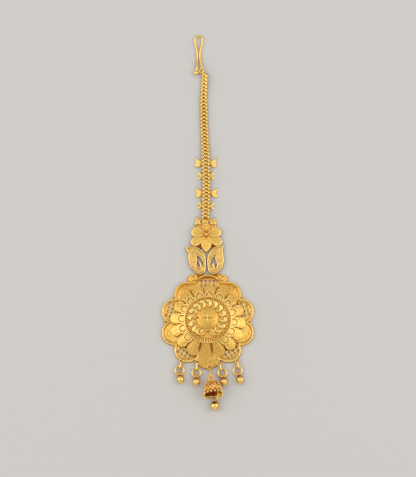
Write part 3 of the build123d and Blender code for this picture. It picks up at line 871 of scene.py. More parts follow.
@dataclass
class Backplate:
    """Lobed plate with rounded rims, lattice lobes, plain lobes, curls and notch beads.

    A lobe's rim is the upper half of an ellipse that follows the outline. Inside it runs a
    groove, and inside that a plain lobe swells by a quarter circle. Towards the middle the
    plain lobes and the bottom lobe rise to the petals.
    """

    count: int = 10
    lobe_ring: float = 13.5
    lobe_radius: float = 5.2
    top_ring: float = 12.7
    top_radius: float = 6.3
    bottom_number: int = 5
    inner: float = 9.5
    plain_from: float = 9.6
    field_top: float = 0.42
    swell: Span = (0.42, 1.2)  # height and reach of a plain lobe's swell
    plain_apron: float = 0.42
    plain_apron_span: Span = (13.6, 17.0)
    bottom_apron: float = 0.6
    bottom_apron_span: Span = (14.2, 18.4)
    bottom_field: Place = (0.45, 0.5, 0.9)  # lowest height, rise and reach of the bottom lobe
    rim_width: float = 0.95
    rim_base: float = 0.55
    rim_rise: float = 0.55
    notch: Place = (-0.1, 5.0, 15.2, 5.0)  # middle x, distance from it, y and width
    inner_line: Place = (0.5, 0.3, 0.14)  # distance inside the rim, width, height
    arcs: tuple[float, ...] = (54, 126)
    arc_lines: tuple[float, ...] = (1.75, 2.6, 3.45)
    arc_line: Span = (0.2, 0.42)  # depth and width
    lattice: tuple[Span, ...] = (
        # angle of the lobe, shift of its lattice across
        (90, 0.05), (162, -0.05), (18, 0.5), (234, -0.05), (306, 0.42),
    )
    pitch: float = 1.6
    hole: float = 0.9
    hole_corner: float = 0.12
    outer_row: float = 16.15
    reach: float = 3.9
    bar_lift: float = 0.06
    bar_swell: Span = (0.1, 0.35)
    curls: tuple[Place, ...] = ((-5.75, 16.9), (5.55, 16.9))
    curl_radius: float = 2.15
    eyes: tuple[Place, ...] = ((-5.0, 18.0), (4.8, 18.0))
    eye_radius: float = 1.2
    coil_place: Place = (-5.45, 17.5)
    coil_pitch: float = 1.2
    coil_start: float = 0.3
    coil_height: Span = (0.7, 0.3)  # height of its groove, and rise from there
    tabs: tuple[Place, ...] = ((-2.9, 19.0), (2.4, 19.0))
    tab_half: float = 1.2
    pits: tuple[Place, ...] = ((-15.7, -4.7), (15.7, -4.7))
    pit: Span = (0.3, 1.0)  # depth and width
    eyelet_inset: float = 0.3
    eyelet_radius: float = 0.55
    eyelet_wire: Place = (0.79, 0.46, 0.4, 0.92)  # radius, width, height, z of its middle
    beads: tuple[Place, ...] = (
        # radius, angle, bead radius
        (16.6, 177.8, 0.58), (16.6, 182.2, 0.58), (16.6, 357.8, 0.58), (16.6, 2.2, 0.58),
        (16.2, 213.8, 0.58), (16.2, 218.2, 0.58), (16.2, 326.2, 0.58), (16.2, 321.8, 0.58),
        (16.1, 141.4, 0.58), (16.8, 144.9, 0.44), (16.1, 38.6, 0.58), (16.8, 35.1, 0.44),
    )
    middle: tuple[Span, ...] = ((0, 0.05), (9.62, 0.05), (9.62, 0.35), (0, 0.35))
    hub: tuple[Span, ...] = ((2.1, 0.3), (2.6, 0.3), (2.6, 3.8), (2.1, 3.8), (2.1, 0.3))
    box: Place = (-18.9, 18.9, -18.9, 20.4)
    step: float = 0.15

    def lobes(self, x: Array, y: Array) -> Array:
        """Signed distance to the nearest lobe's circle.

        Args:
            x, y: plan coordinates.

        Returns:
            The distance, less than 0 inside a lobe.
        """
        away = np.hypot(x, y - self.top_ring) - self.top_radius
        for number in range(1, self.count):
            middle = polar(self.lobe_ring, 90 + 360 / self.count * number)
            away = np.minimum(away, np.hypot(x - middle[0], y - middle[1]) - self.lobe_radius)
        return away

    def holes(self, x: Array, y: Array) -> Array:
        """Signed distance to the nearest lattice hole, a square with soft corners. A hole is
        there where its middle is within reach of its lobe's middle.

        Args:
            x, y: plan coordinates.

        Returns:
            The distance, less than 0 in a hole.
        """
        away, soft = np.full(np.shape(x), FAR), self.hole_corner
        for angle, shift in self.lattice:
            out, across = turned(x, y, angle)
            for row, column in itertools.product(range(4), (-1.5, -0.5, 0.5, 1.5)):
                u, v = self.outer_row - row * self.pitch, column * self.pitch + shift
                if v**2 + (u - self.lobe_ring) ** 2 < self.reach**2:
                    a = np.abs(out - u) - self.hole / 2 + soft
                    b = np.abs(across - v) - self.hole / 2 + soft
                    corner = np.hypot(np.maximum(a, 0), np.maximum(b, 0))
                    away = np.minimum(away, corner + np.minimum(np.maximum(a, b), 0) - soft)
        return away

    def eyelets(self) -> list[Array]:
        """Places where the bails' wires pass through the rim."""
        ends = [(np.array(start), np.array(end)) for start, end in BAILS]
        return [start[:2] + unit(end[:2] - start[:2]) * self.eyelet_inset for start, end in ends]

    def edge(self, x: Array, y: Array) -> Array:
        """Signed distance to the cut outline: the nearest of the lobes, the middle, the curls,
        their eyes and the tabs, less the eyelets, the lattice and the open middle.

        Args:
            x, y: plan coordinates.

        Returns:
            The distance, less than 0 in the metal.
        """
        away = np.minimum(self.lobes(x, y), np.hypot(x, y) - self.lobe_ring)
        discs = [(place, self.curl_radius) for place in self.curls]
        discs += [(place, self.eye_radius) for place in self.eyes]
        for place, radius in discs:
            away = np.minimum(away, np.hypot(x - place[0], y - place[1]) - radius)
        for place in self.tabs:
            reach = np.maximum(np.abs(x - place[0]), np.abs(y - place[1])) - self.tab_half
            away = np.minimum(away, reach)
        for place in self.eyelets():
            away = np.maximum(away, self.eyelet_radius - np.hypot(x - place[0], y - place[1]))
        return np.maximum(np.maximum(away, -self.holes(x, y)), self.inner - np.hypot(x, y))

    def top(self, x: Array, y: Array, inside: Array) -> Array:
        """Height of the plate: field, swell of the plain lobes, rims, arcs, curls and pits.

        Args:
            x, y: plan coordinates.
            inside: distance inside the cut outline.

        Returns:
            The heights.
        """
        rim, out = np.maximum(-self.lobes(x, y), 0), np.hypot(x, y)
        number = fold_angle(x, y, self.count, 90)[2]
        plain = (number % 2 == 1) & (out > self.plain_from)
        rise, reach = self.swell
        height = self.field_top + rise * dent(rim - self.rim_width + 0.05, reach) * plain
        bars = np.maximum(self.holes(x, y), 0)
        inset, width, line = self.inner_line
        height = height + ~plain * (self.bar_swell[0] * dent(bars, self.bar_swell[1]) + self.bar_lift)
        height = height + line * hump(rim - self.rim_width - inset, width) * ~plain
        for angle in self.arcs:
            lobe, (depth, width) = polar(self.lobe_ring, angle), self.arc_line
            own = self.lobe_radius - np.hypot(x - lobe[0], y - lobe[1])
            height = height - depth * sum(nick(own - line, width) for line in self.arc_lines) * (own > 0.9)
        middle, aside, up, width = self.notch
        notch = nick(np.hypot(np.abs(x - middle) - aside, y - up), width)
        round_rim = band(rim - self.rim_width / 2, self.rim_width) * (1 - 0.9 * notch)
        bead = self.rim_base + self.rim_rise * round_rim
        height = np.where(rim < self.rim_width, np.maximum(height, bead), height)
        height = height + self.plain_apron * plain * (1 - ease(*self.plain_apron_span, out)) * (rim > 0.6)
        low, rise, reach = self.bottom_field
        bottom = low + rise * dent(rim, reach) + self.bottom_apron * (1 - ease(*self.bottom_apron_span, out))
        height = np.where(number == self.bottom_number, bottom, height)
        for place in self.pits:
            height = height - self.pit[0] * nick(np.hypot(x - place[0], y - place[1]), self.pit[1])
        for place, eye, hand in zip(self.curls, self.eyes, (1, -1)):
            own = self.curl_radius - np.hypot(x - place[0], y - place[1])
            inner = self.eye_radius - np.hypot(x - eye[0], y - eye[1])
            own_zone = ((own > 0) | (inner > 0)) & (rim < 0.5 + 0.6 * notch)
            height = np.where(own_zone, self.curl(x, y, hand), height)
        return height

    def curl(self, x: Array, y: Array, hand: int) -> Array:
        """Height of a curl: round ridges along a spiral, one pitch apart on every turn.

        Args:
            x, y: plan coordinates.
            hand: 1 for the left curl, -1 for the right one.

        Returns:
            The heights.
        """
        away, aside = x - self.coil_place[0] * hand, y - self.coil_place[1]
        turns = np.arctan2(aside, -hand * away) / (2 * np.pi)
        coil = (np.hypot(away, aside) / self.coil_pitch + turns + self.coil_start) % 1
        return self.coil_height[0] + self.coil_height[1] * hump(coil - 0.5, 0.9)

    def shaded(self, x: Array, y: Array, marks: Array) -> Array:
        """Relief marks of the polished plate: painted shade round the holes, under the petals and
        at the top, painted highlights on the bars and on the plain lobes at the sides.

        Args:
            x, y: plan coordinates.
            marks: the marks of its height map.

        Returns:
            The new marks.
        """
        bars, out = np.maximum(self.holes(x, y), 0), np.hypot(x, y)
        hole_shade, bar_highlight = 1 - ease(0.0, 0.2, bars), ease(0.12, 0.35, bars) * (1 - ease(0.5, 0.7, bars))
        # painted shade round the holes, and a painted highlight along the middle of the bars
        marks = marks - 0.4 * hole_shade + 0.2 * bar_highlight
        # the hollows get less painted shade upwards, and the upper part gets painted shade
        marks = np.maximum(marks, 0.06 + 0.28 * ease(-1, 6, y)) - 0.1 * ease(8, 14, y)
        # painted shade under the petals and at the top arch, painted highlight on the side lobes
        petal_shadow = (1 - ease(13.9, 14.9, out)) * ease(5, 9, y)
        top_shade = ease(15.2, 16.6, y) * (1 - ease(3.6, 5.4, np.abs(x)))
        side_lobe_highlight = ease(1.2, 2.0, -self.lobes(x, y)) * (np.abs(x) > 10.5) * ease(1.5, -1.0, y)
        return marks - 0.3 * petal_shadow - 0.22 * top_shade + 0.08 * side_lobe_highlight

    def build(self) -> Piece:
        """Presses the plate and adds its middle, hub, eyelets and beads.

        Returns:
            The plate's object.
        """
        sheet = Stamping(self.edge, self.top, flat(0.0), self.box, self.step, depth=0.34, reach=0.8)
        points, faces, marks = sheet.mesh()
        work = Work("base_plate").add((points, faces, self.shaded(points[:, 0], points[:, 1], marks)))
        # the middle and the hub lie under the tiers and are painted in shade
        work.add(lathe(self.middle, 96), 0.2)
        work.add(lathe(self.hub, 48), 0.3)
        radius, width, high, level = self.eyelet_wire
        lug = wire(ring_path(radius, 28), UP, width, 10, high=high)
        for place in self.eyelets():
            work.add(moved(lug, np.eye(3), (*place, level)), 0.5)
        # the beads' mark paints a slight highlight on them
        for out, angle, bead in self.beads:
            work.add(moved(ball(bead, 20), np.eye(3), np.append(polar(out, angle), bead + 0.05)), 0.62)
        return work.piece(SATIN, Slot.STAMPED, "base_plate")


@dataclass(frozen=True)
class Cone:
    """Shell that is flat in the middle and falls in a straight line to its tip radius."""

    flat_radius: float
    flat_top: float
    tip: float
    tip_top: float

    @property
    def slope(self) -> float:
        """Fall of its side."""
        return (self.flat_top - self.tip_top) / (self.tip - self.flat_radius)

    def height(self, x: Array, y: Array) -> Array:
        """Height over plan places."""
        return self.flat_top - self.slope * np.clip(np.hypot(x, y) - self.flat_radius, 0, None)


@dataclass(frozen=True)
class PetalSide:
    """One side of a petal along +X: corners beside its root, then a round end whose half width
    runs as a power of 1 - t^2."""

    corners: tuple[Span, ...]
    shoulder: float
    half_width: float
    power: float

    def outline(self, tip: float) -> Array:
        """The side from its root to its tip, with the side upwards.

        Args:
            tip: x of the petal's tip.

        Returns:
            Corners, one row each.
        """
        share = np.sin(np.linspace(0, np.pi / 2, 18))
        width = self.half_width * (1 - share**2) ** self.power
        end = np.stack([self.shoulder + share * (tip - self.shoulder), width], axis=1)
        return np.vstack([self.corners, end])


BROAD_SIDE = PetalSide(((8.3, 1.6), (10.2, 1.8), (11.0, 1.9), (11.7, 2.16), (12.3, 2.46)), 12.9, 2.64, 0.5)
SLIM_SIDE = PetalSide(((8.3, 1.55), (10.0, 1.66), (11.0, 1.84), (11.9, 2.12)), 12.6, 2.3, 0.62)


@dataclass
class PetalTier:
    """Sixteen petals on a sloping shell, each with a raised lip round it and a soft swell.

    Thirteen are slim and stand apart. The three lowest are broad on the sides where they touch
    one another. A lip is flat on top and follows the petal's outline.
    """

    broad: tuple[tuple[float, PetalSide, PetalSide], ...] = (
        # angle, clockwise side, other side
        (241.5, SLIM_SIDE, BROAD_SIDE), (265.7, BROAD_SIDE, BROAD_SIDE), (290.4, BROAD_SIDE, SLIM_SIDE),
    )
    slim: int = 13
    slim_phase: float = 314.0
    slim_pitch: float = 22.04
    cone: Cone = Cone(8.5, 4.25, 14.8, 1.5)
    centre: Place = (11.4, 0)
    side_step: float = 0.22
    thick: float = 0.32
    lip: float = 0.14
    lip_width: float = 0.5
    lip_fade: Span = (13.1, 14.4)  # the lip fades from here to the tip
    lip_drop: float = 0.1
    swell: Span = (0.12, 1.2)  # height and reach
    backing_drop: float = 0.34
    # shell under the petals, painted dark to stand for the shade between them
    shaded_backing: tuple[Span, ...] = (
        # radius, height under the petals' underside
        (0, 0.11), (8.5, 0.11), (12.2, 0.11), (12.2, 0.0), (11.8, 0.0), (11.4, 0.0), (8.5, 0.0), (0, 0.0),
    )
    backing_painted_light: Place = (11.6, 12.2, 0.2)  # start, end and mark of its edge, which is painted less deep in shade

    def relief(self, x: Array, y: Array, inside: Array) -> Array:
        """Lip along the sides of a petal, and the swell between the lips.

        Args:
            x, y: plan coordinates of a petal along +X.
            inside: distance inside the petal's outline.

        Returns:
            Height above the shell.
        """
        sides = 1 - 0.65 * ease(*self.lip_fade, x)
        lip = self.lip * band(inside - self.lip_width / 2, self.lip_width) * sides
        rise, reach = self.swell
        return lip + rise * dent(inside - self.lip_width, reach) - self.lip_drop * sides

    def petal(self, clockwise: PetalSide, other: PetalSide) -> Mesh:
        """One petal along +X.

        Args:
            clockwise: its side towards -Y.
            other: its side towards +Y.

        Returns:
            Points, faces and relief marks.
        """
        tip = self.cone.tip
        corners = np.vstack([clockwise.outline(tip) * [1, -1], other.outline(tip)[-2::-1]])
        outline = dense(corners, self.side_step)
        return boss(outline, self.centre, self.cone.height, self.relief, self.thick, rings=16, depth=0.16)

    def build(self) -> Piece:
        """Presses the petals, sets sixteen in a ring and backs them with a shell painted in shade.

        Returns:
            The tier's object.
        """
        angles = self.slim_phase + self.slim_pitch * np.arange(self.slim)
        work = Work("petal_tier").add(spun(self.petal(SLIM_SIDE, SLIM_SIDE), angles))
        for angle, clockwise, other in self.broad:
            work.add(spun(self.petal(clockwise, other), [angle]))
        rings = [(r, float(self.cone.height(r, 0.0)) - self.backing_drop - low) for r, low in self.shaded_backing]
        points, faces, _ = lathe(rings, 128)
        start, end, mark = self.backing_painted_light
        work.add((points, faces, mark * ease(start, end, np.hypot(points[:, 0], points[:, 1]))))
        return work.piece(SATIN, Slot.STAMPED, "petal_tier")


@dataclass
class ScallopTier:
    """Scallops on a steeper shell: a rim ridge, two grooves, a pillow and a dimple.

    Every line of a scallop keeps its distance from the scallop's outline. Sixteen places
    stand in the ring, and the three lowest stay bare.
    """

    phase: float = 86.0
    count: int = 16
    bare: tuple[int, ...] = (7, 8, 9)
    cone: Cone = Cone(8.5, 4.65, 12.2, 3.45)
    radius: float = 1.98
    end_half_turn: float = 96.0
    root: tuple[Span, ...] = ((8.3, -1.6), (9.4, -1.83))
    thick: float = 0.32
    side_step: float = 0.2
    rim: Place = (0.3, 0.62, 0.26)  # distance from the edge, width, height
    grooves: tuple[Place, ...] = (
        # distance from the edge, width, depth
        (0.7, 0.36, 0.12), (1.12, 0.3, 0.05),
    )
    pillow: Place = (0.8, 0.6, 0.1)  # distance from the edge, reach, height
    dimple: Place = (0.2, 0.5, 0.08)  # distance beyond the middle, width, depth
    drop: float = 0.04
    shaded_backing: tuple[Span, ...] = ((0, 4.3), (8.5, 4.3), (9.2, 4.1), (9.2, 4.4), (8.5, 4.6), (0, 4.6))

    def relief(self, x: Array, y: Array, inside: Array) -> Array:
        """Ridge, grooves, pillow and dimple. Round the end the distance runs from the circle.

        Args:
            x, y: plan coordinates of a scallop along +X.
            inside: distance inside the scallop's outline.

        Returns:
            Height above the shell.
        """
        middle = self.cone.tip - self.radius
        depth = np.where(x > middle, self.radius - np.hypot(x - middle, y), inside)
        height = self.rim[2] * band(depth - self.rim[0], self.rim[1]) - self.drop
        for away, width, low in self.grooves:
            height = height - low * nick(depth - away, width)
        beyond, width, low = self.dimple
        height = height - low * nick(np.hypot(x - middle - beyond, y), width)
        return height + self.pillow[2] * dent(depth - self.pillow[0], self.pillow[1])

    def build(self) -> Piece:
        """Presses one scallop and sets the ring of them on its shell.

        Returns:
            The tier's object.
        """
        middle = self.cone.tip - self.radius
        arc = arc_points((middle, 0), self.radius, -self.end_half_turn, self.end_half_turn, 45)
        outline = dense(np.vstack([self.root, arc, [(x, -y) for x, y in self.root[::-1]]]), self.side_step)
        scallop = boss(
            outline, (middle - 0.1, 0), self.cone.height, self.relief, self.thick, rings=22, depth=0.14
        )
        angles = [self.phase + 360 / self.count * n for n in range(self.count) if n not in self.bare]
        # the ring under the scallops is painted in shade
        work = Work("scallop_tier").add(spun(scallop, angles)).add(lathe(self.shaded_backing, 128), 0.1)
        return work.piece(SATIN, Slot.STAMPED, "scallop_tier")


@dataclass
class CentreDisc:
    """Disc with a wire edge, a ribbed band, a whirl of hooked leaves and a domed middle.

    The field inside the band is a circle whose middle stands a little above the disc's, so
    that the band is wider at the bottom. A hooked leaf is a row of circles along a curve given
    by radius, angle and half width; its height is a power of 1 less the squared distance from
    a circle's middle. The star is four thin rays whose width falls to nothing.
    """

    radius: float = 9.45
    edge_top: float = 5.5
    edge_wire: Place = (0.22, 0.5, 0.2)  # distance inside the edge, width, height
    edge_drop: float = 0.15
    band_radius: float = 7.75
    field_lift: float = 0.42
    field_top: float = 6.0
    field_drop: float = 0.12
    boss_radius: float = 4.2
    boss_top: float = 6.8
    boss_step: Span = (0.1, 0.4)  # share of the rise at the dome's foot, and its reach
    shift: Place = (-0.12, 0.35)
    ribs: int = 76
    rib_start: Span = (0.08, 0.2)  # beyond the field's edge
    rib_end: Span = (8.85, 9.0)  # radius
    rib_height: Span = (0.15, -0.17)  # half height and level
    inner_wire: Place = (0.08, 0.34, 0.12)  # beyond the field's edge, width, height
    rows: int = 132
    columns: int = 648
    row_radii: tuple[Span, ...] = (
        # share of the rows, radius
        (0, 9.45), (0.2, 7.8), (0.55, 4.35), (1, 0.2),
    )
    hook: tuple[Place, ...] = (
        # radius, angle, half width
        (6.9, 4.4, 0.52), (7.0, 1.2, 0.7), (6.87, -2.8, 0.76), (6.4, -6.6, 0.64), (5.78, -8.2, 0.52),
        (5.15, -6.4, 0.42), (4.65, -2.2, 0.32),
    )
    first_leaf: float = 222.0
    leaf_pitch: float = 22.5
    leaves: int = 12
    small_leaves: tuple[float, ...] = (-47.0, 238.0)
    small_size: float = 0.72
    buds: tuple[Place, ...] = (
        # radius, angle, half width
        (5.3, 246.0, 0.5), (4.85, 251.0, 0.36), (5.0, 260.0, 0.3), (4.75, 269.0, 0.34), (4.95, 278.0, 0.3),
        (4.9, 288.0, 0.38), (5.35, 293.0, 0.5), (5.75, 298.0, 0.36), (5.75, 241.0, 0.34),
    )
    leaf_height: Span = (0.32, 0.45)  # height and power
    low_leaf: Place = (2.0, -6.0)
    low_turn: float = -18.0
    low_size: Span = (1.9, 0.95)
    low_reach: float = 0.2
    star: Place = (-0.05, 0.12)
    star_size: Span = (2.3, 2.55)  # half length of the level and of the upright rays
    star_width: float = 0.3
    star_depth: float = 0.2
    pit: Place = (-3.7, 0.2, 1.3)  # x, y, width
    shade_spot_ring: Place = (4.8, 1.1, 231.0)  # radius, width and first angle of the painted shade between the leaves' inner ends
    skirt: tuple[Span, ...] = ((0.0, 5.35), (9.05, 5.3), (9.1, 5.2), (9.1, 4.7), (9.45, 4.7), (9.45, 5.35))

    def beyond(self, x: Array, y: Array) -> Array:
        """How far a place is outside the field's edge, and less than 0 inside it."""
        return np.hypot(x, y - self.field_lift) - self.band_radius

    def form(self, x: Array, y: Array) -> Array:
        """Smooth height of the disc: flat field, spherical dome, and a band that slopes down
        in a straight line from the field's edge to the disc's.

        Args:
            x, y: plan coordinates.

        Returns:
            The heights.
        """
        off = np.hypot(x - self.shift[0], y - self.shift[1])
        step, reach = self.boss_step
        round_top = 1 - (off / self.boss_radius) ** 2
        foot = dent(np.maximum(self.boss_radius - off, 0), reach)
        dome = self.field_top + (self.boss_top - self.field_top) * (step * foot + (1 - step) * round_top)
        outside, inside = np.maximum(self.beyond(x, y), 0), np.maximum(self.radius - np.hypot(x, y), 0)
        share = outside / (outside + inside + TINY)
        field = self.field_top - share * (self.field_top - self.edge_top)
        return np.where(off < self.boss_radius, dome, field)

    def wreath(self, x: Array, y: Array) -> tuple[Array, Array]:
        """Hooked leaves with the buds between them, and the low pair of pointed leaves.

        Args:
            x, y: plan coordinates from the dome's middle.

        Returns:
            1 less the squared distance from the nearest circle's middle in half widths, and the
            distance inside the low pair as a share of its reach. Both are below 0 beside them.
        """
        hooks = [(self.first_leaf - self.leaf_pitch * number, 1.0) for number in range(self.leaves)]
        hooks += [(angle, self.small_size) for angle in self.small_leaves]
        line = smooth_outline(self.hook, False, 4)
        circles = [(out, turn + angle, width * size) for turn, size in hooks for out, angle, width in line]
        hooked = np.full_like(x, -FAR)
        for out, angle, width in circles + list(self.buds):
            u, v = polar(out, angle)
            hooked = np.maximum(hooked, 1 - ((x - u) ** 2 + (y - v) ** 2) / width**2)
        along, across = turned(np.abs(x) - self.low_leaf[0], y - self.low_leaf[1], self.low_turn)
        low_pair = self.low_size[1] * (1 - (along / self.low_size[0]) ** 2) - np.abs(across)
        return hooked, low_pair / self.low_reach * (hooked < 0.01)

    def cuts(self, x: Array, y: Array) -> tuple[Array, Array]:
        """Cuts of the star: across a ray the depth is a parabola, as wide as the ray is there.

        Args:
            x, y: plan coordinates from the dome's middle.

        Returns:
            Depth of its upright rays, and of its level rays with the pit, from 0 to 1.
        """
        x, y = x - self.star[0], y - self.star[1]
        rays = []
        for across, along, half in ((x, y, self.star_size[1]), (y, x, self.star_size[0])):
            width = self.star_width * np.clip(1 - np.abs(along) / half, 0, 1)
            rays.append(np.clip(1 - (across / np.maximum(width, 0.02)) ** 2, 0, 1) * (width > 0))
        pit = nick(np.hypot(x - self.pit[0], y - self.pit[1]), self.pit[2])
        return rays[0], np.maximum(rays[1], pit)

    def relief(self, x: Array, y: Array) -> tuple[Array, Array]:
        """Heights and relief marks: the edge wire, the ribs, the wreath on its sunken ground
        and the star. The marks paint shade on the ground beside the leaves and in a ring of spots
        between their inner ends, a sheen on the leaves, light and shade across the ribs, a
        highlight in the upright rays of the star and shade in its level rays and its pit.

        Args:
            x, y: plan coordinates, rows from the edge inwards.

        Returns:
            Heights and marks.
        """
        radius, beyond = np.hypot(x, y), self.beyond(x, y)
        off_x, off_y = x - self.shift[0], y - self.shift[1]
        off = np.hypot(off_x, off_y)
        inset, width, high = self.edge_wire
        lift = high * hump(radius - self.radius + inset, width)
        ribbed = ease(*self.rib_start, beyond) * (1 - ease(*self.rib_end, radius))
        ribs = np.cos(self.ribs * np.arctan2(y, x))
        away, width, high = self.inner_wire
        lift = lift + ribbed * (self.rib_height[0] * ribs + self.rib_height[1])
        lift = lift + high * hump(beyond - away, width) * (0.6 + 0.4 * ribs)
        hooked, low_pair = self.wreath(off_x, off_y)
        beside = np.maximum(-hooked, 0) * np.where(low_pair > -2.5, np.maximum(-low_pair, 0) / 2.5, 1)
        hooked, low_pair = np.clip(hooked, 0, 1), np.clip(low_pair, 0, 1)
        leaf, field_zone = np.maximum(hooked, low_pair), (off > self.boss_radius - 0.05) & (beyond < 0)
        high, power = self.leaf_height
        lift = lift + np.where(field_zone, np.where(leaf > 0.01, high * leaf**power, -self.field_drop), 0)
        upright, level = self.cuts(off_x, off_y)
        height = self.form(x, y) + lift - self.star_depth * np.maximum(upright, level)
        height[0] = self.edge_top - self.edge_drop
        marks = relief_marks(height, np.ones_like(height), 7, 0.17, wraps=True)
        # painted shade on the ground beside the leaves, painted sheen on the leaves
        ground_shade = 0.02 + 0.38 * ease(0.1, 1.2, beside)
        painted_sheen_and_shade = np.where(hooked > 0.01, 0.3 + 0.75 * hooked**0.4, np.maximum(ground_shade, 0.58 * low_pair))
        ring, width, first = self.shade_spot_ring
        turn = np.radians(np.degrees(np.arctan2(off_y, off_x)) - first)
        spots = nick(off - ring, width) * np.clip(np.cos(360 / self.leaf_pitch * turn), 0, 1) ** 2
        marks = np.where(field_zone, painted_sheen_and_shade - 0.4 * spots * (leaf < 0.01), marks)
        # painted light and shade across the ribs
        marks = np.where(ribbed > 0.5, 0.43 + 0.42 * ribs, marks)
        # painted highlight in the upright rays, painted shade in the level rays and the pit
        return height, np.where(upright > 0.05, 0.55 + 0.5 * upright, marks) - 0.9 * level

    def build(self) -> Piece:
        """Lays the relief on a round grid and closes it with a skirt and an underside.

        Returns:
            The disc's object.
        """
        shares, radii = np.array(self.row_radii).T
        radius = np.interp(np.linspace(0, 1, self.rows), shares, radii)[:, None]
        angle = np.linspace(0, 2 * np.pi, self.columns, endpoint=False)
        x, y = radius * np.cos(angle), radius * np.sin(angle)
        height, marks = self.relief(x, y)
        top = np.stack([x, y, height], axis=-1).reshape(-1, 3)
        middle = np.array([[0, 0, height[-1].mean()]])
        around = np.arange(self.columns)
        after, last = (around + 1) % self.columns, (self.rows - 1) * self.columns
        faces = [
            grid_faces(self.rows, self.columns, False, True),
            np.stack([last + around, last + after, np.full(self.columns, len(top))], axis=1),
        ]
        work = Work("centre_disc").add((np.vstack([top, middle]), faces, np.append(marks.ravel(), 0.4)))
        # the skirt is painted a little into shade
        work.add(lathe(self.skirt, self.columns), 0.35)
        return work.piece(MATT, Slot.STAMPED, "centre_disc")


# ---- leaves, flower, crest and charms ----
@dataclass(frozen=True)
class EdgeLine:
    """Raised line that follows an edge, with a groove behind it."""

    ridge: Place  # distance from the edge, width and height
    groove: Place  # distance from the edge, width and depth

    def height(self, away: Array) -> Array:
        """Height of the line and the groove, from the distance to the edge."""
        ridge = self.ridge[2] * hump(away - self.ridge[0], self.ridge[1])
        return ridge - self.groove[2] * nick(away - self.groove[0], self.groove[1])


@dataclass
class Leaf:
    """Pierced leaf with a raised line along its edge and round its cuts, and fine strands.

    The outline and the cuts are smooth curves through their corners. The strands follow the
    nearer of both: their height is a cosine of that distance, swayed by sines of the place.
    """

    name: str
    corners: tuple[Place, ...]
    cuts: tuple[tuple[Place, ...], ...]
    pit: Place = (0.0, 99.0)
    pit_size: Span = (0.2, 0.8)  # depth and width
    bottom: float = 0.45
    top: float = 1.5
    sheet: float = 0.4
    shoulder: Span = (0.28, 0.5)  # height and reach of the rounded edge
    swell: Place = (0.14, 0.5, 2.2)  # height, and the distances over which it rises
    edge_line: EdgeLine = EdgeLine((0.26, 0.5, 0.18), (0.66, 0.36, 0.1))
    cut_line: EdgeLine = EdgeLine((0.25, 0.5, 0.14), (0.68, 0.45, 0.1))
    strand: float = 0.8
    strand_depth: float = 0.055
    strand_span: Span = (0.8, 1.1)  # distance from the outline where they start
    sways: tuple[Place, ...] = (
        # share of a strand, radians for each millimetre along x and along y
        (0.16, 0.8, 1.7), (0.1, -1.3, 3.1),
    )
    fade: Place = (0.4, 1.0, 2.3)  # share of their depth, radians for each millimetre again
    step: float = 0.1

    def __post_init__(self) -> None:
        """Draws the outline and the cuts."""
        self.outline = smooth_outline(self.corners, False)
        self.holes = [smooth_outline(cut, True, 5) for cut in self.cuts]

    def from_cuts(self, x: Array, y: Array) -> Array:
        """Signed distance to the nearest cut, less than 0 in it."""
        return np.minimum.reduce([outline_edge(x, y, hole) for hole in self.holes])

    def edge(self, x: Array, y: Array) -> Array:
        """Signed distance to the outline or a cut, less than 0 in the metal."""
        return np.maximum(outline_edge(x, y, self.outline), -self.from_cuts(x, y))

    def height(self, x: Array, y: Array, inside: Array) -> Array:
        """Height of the leaf: rounded edges, lines, strands and a pit.

        Args:
            x, y: plan coordinates.
            inside: distance inside the outline and the cuts.

        Returns:
            The heights.
        """
        rim = np.maximum(-outline_edge(x, y, self.outline), 0)
        hole = np.maximum(self.from_cuts(x, y), 0)
        high, reach = self.shoulder
        rise, start, end = self.swell
        form = self.bottom + self.sheet + high * dent(inside, reach) + rise * ease(start, end, rim)
        sway = sum(share * np.sin(along_x * x + along_y * y) for share, along_x, along_y in self.sways)
        strands = np.cos(2 * np.pi * (np.minimum(rim, hole + 0.5) / self.strand + sway))
        share, along_x, along_y = self.fade
        depth = self.strand_depth * (1 - share + share * np.sin(along_x * x + along_y * y))
        lines = np.where(hole < rim, self.cut_line.height(hole), self.edge_line.height(rim))
        low, width = self.pit_size
        pit = low * nick(np.hypot(x - self.pit[0], y - self.pit[1]), width)
        return np.minimum(form + lines + depth * strands * ease(*self.strand_span, rim) - pit, self.top)

    def build(self) -> Piece:
        """Presses the leaf.

        Returns:
            The leaf's object.
        """
        box = room_round(self.outline)
        sheet = Stamping(self.edge, self.height, flat(self.bottom), box, self.step, 0.18, 0.5)
        return Work(self.name).add(sheet.mesh()).piece(BRUSHED, Slot.STAMPED, self.name)


LEFT_LEAF = Leaf(
    "leaf_left",
    (
        (-8.9, 29.7), (-6.6, 30.2), (-4.2, 29.8), (-2.3, 28.7), (-1.1, 26.8), (-0.65, 24.6), (-0.7, 22.2),
        (-0.95, 20.0), (-2.9, 18.75), (-4.9, 19.8), (-6.8, 21.9), (-7.6, 24.6), (-7.7, 27.2),
    ),
    (
        ((-4.1, 26.2), (-2.8, 25.2), (-1.75, 23.4), (-1.85, 22.6), (-2.9, 23.9), (-4.0, 24.7)),
        ((-4.0, 24.1), (-4.15, 22.7), (-3.4, 21.75), (-3.2, 22.6), (-3.65, 23.6)),
    ),
    (-5.9, 27.3),
)
RIGHT_LEAF = Leaf(
    "leaf_right",
    (
        (6.5, 30.4), (4.2, 30.3), (2.3, 29.7), (0.8, 28.2), (-0.1, 26.2), (-0.3, 24.0), (-0.1, 21.6),
        (0.5, 19.7), (2.3, 18.85), (4.2, 19.8), (5.7, 21.8), (6.35, 24.4), (6.1, 27.2), (5.9, 28.8),
    ),
    (
        (
            (2.5, 25.9), (3.0, 24.2), (3.5, 22.6), (3.05, 21.6), (2.65, 22.4), (2.55, 23.4),
            (1.85, 23.3), (1.25, 22.4), (0.95, 22.8), (1.35, 24.2),
        ),
    ),
)


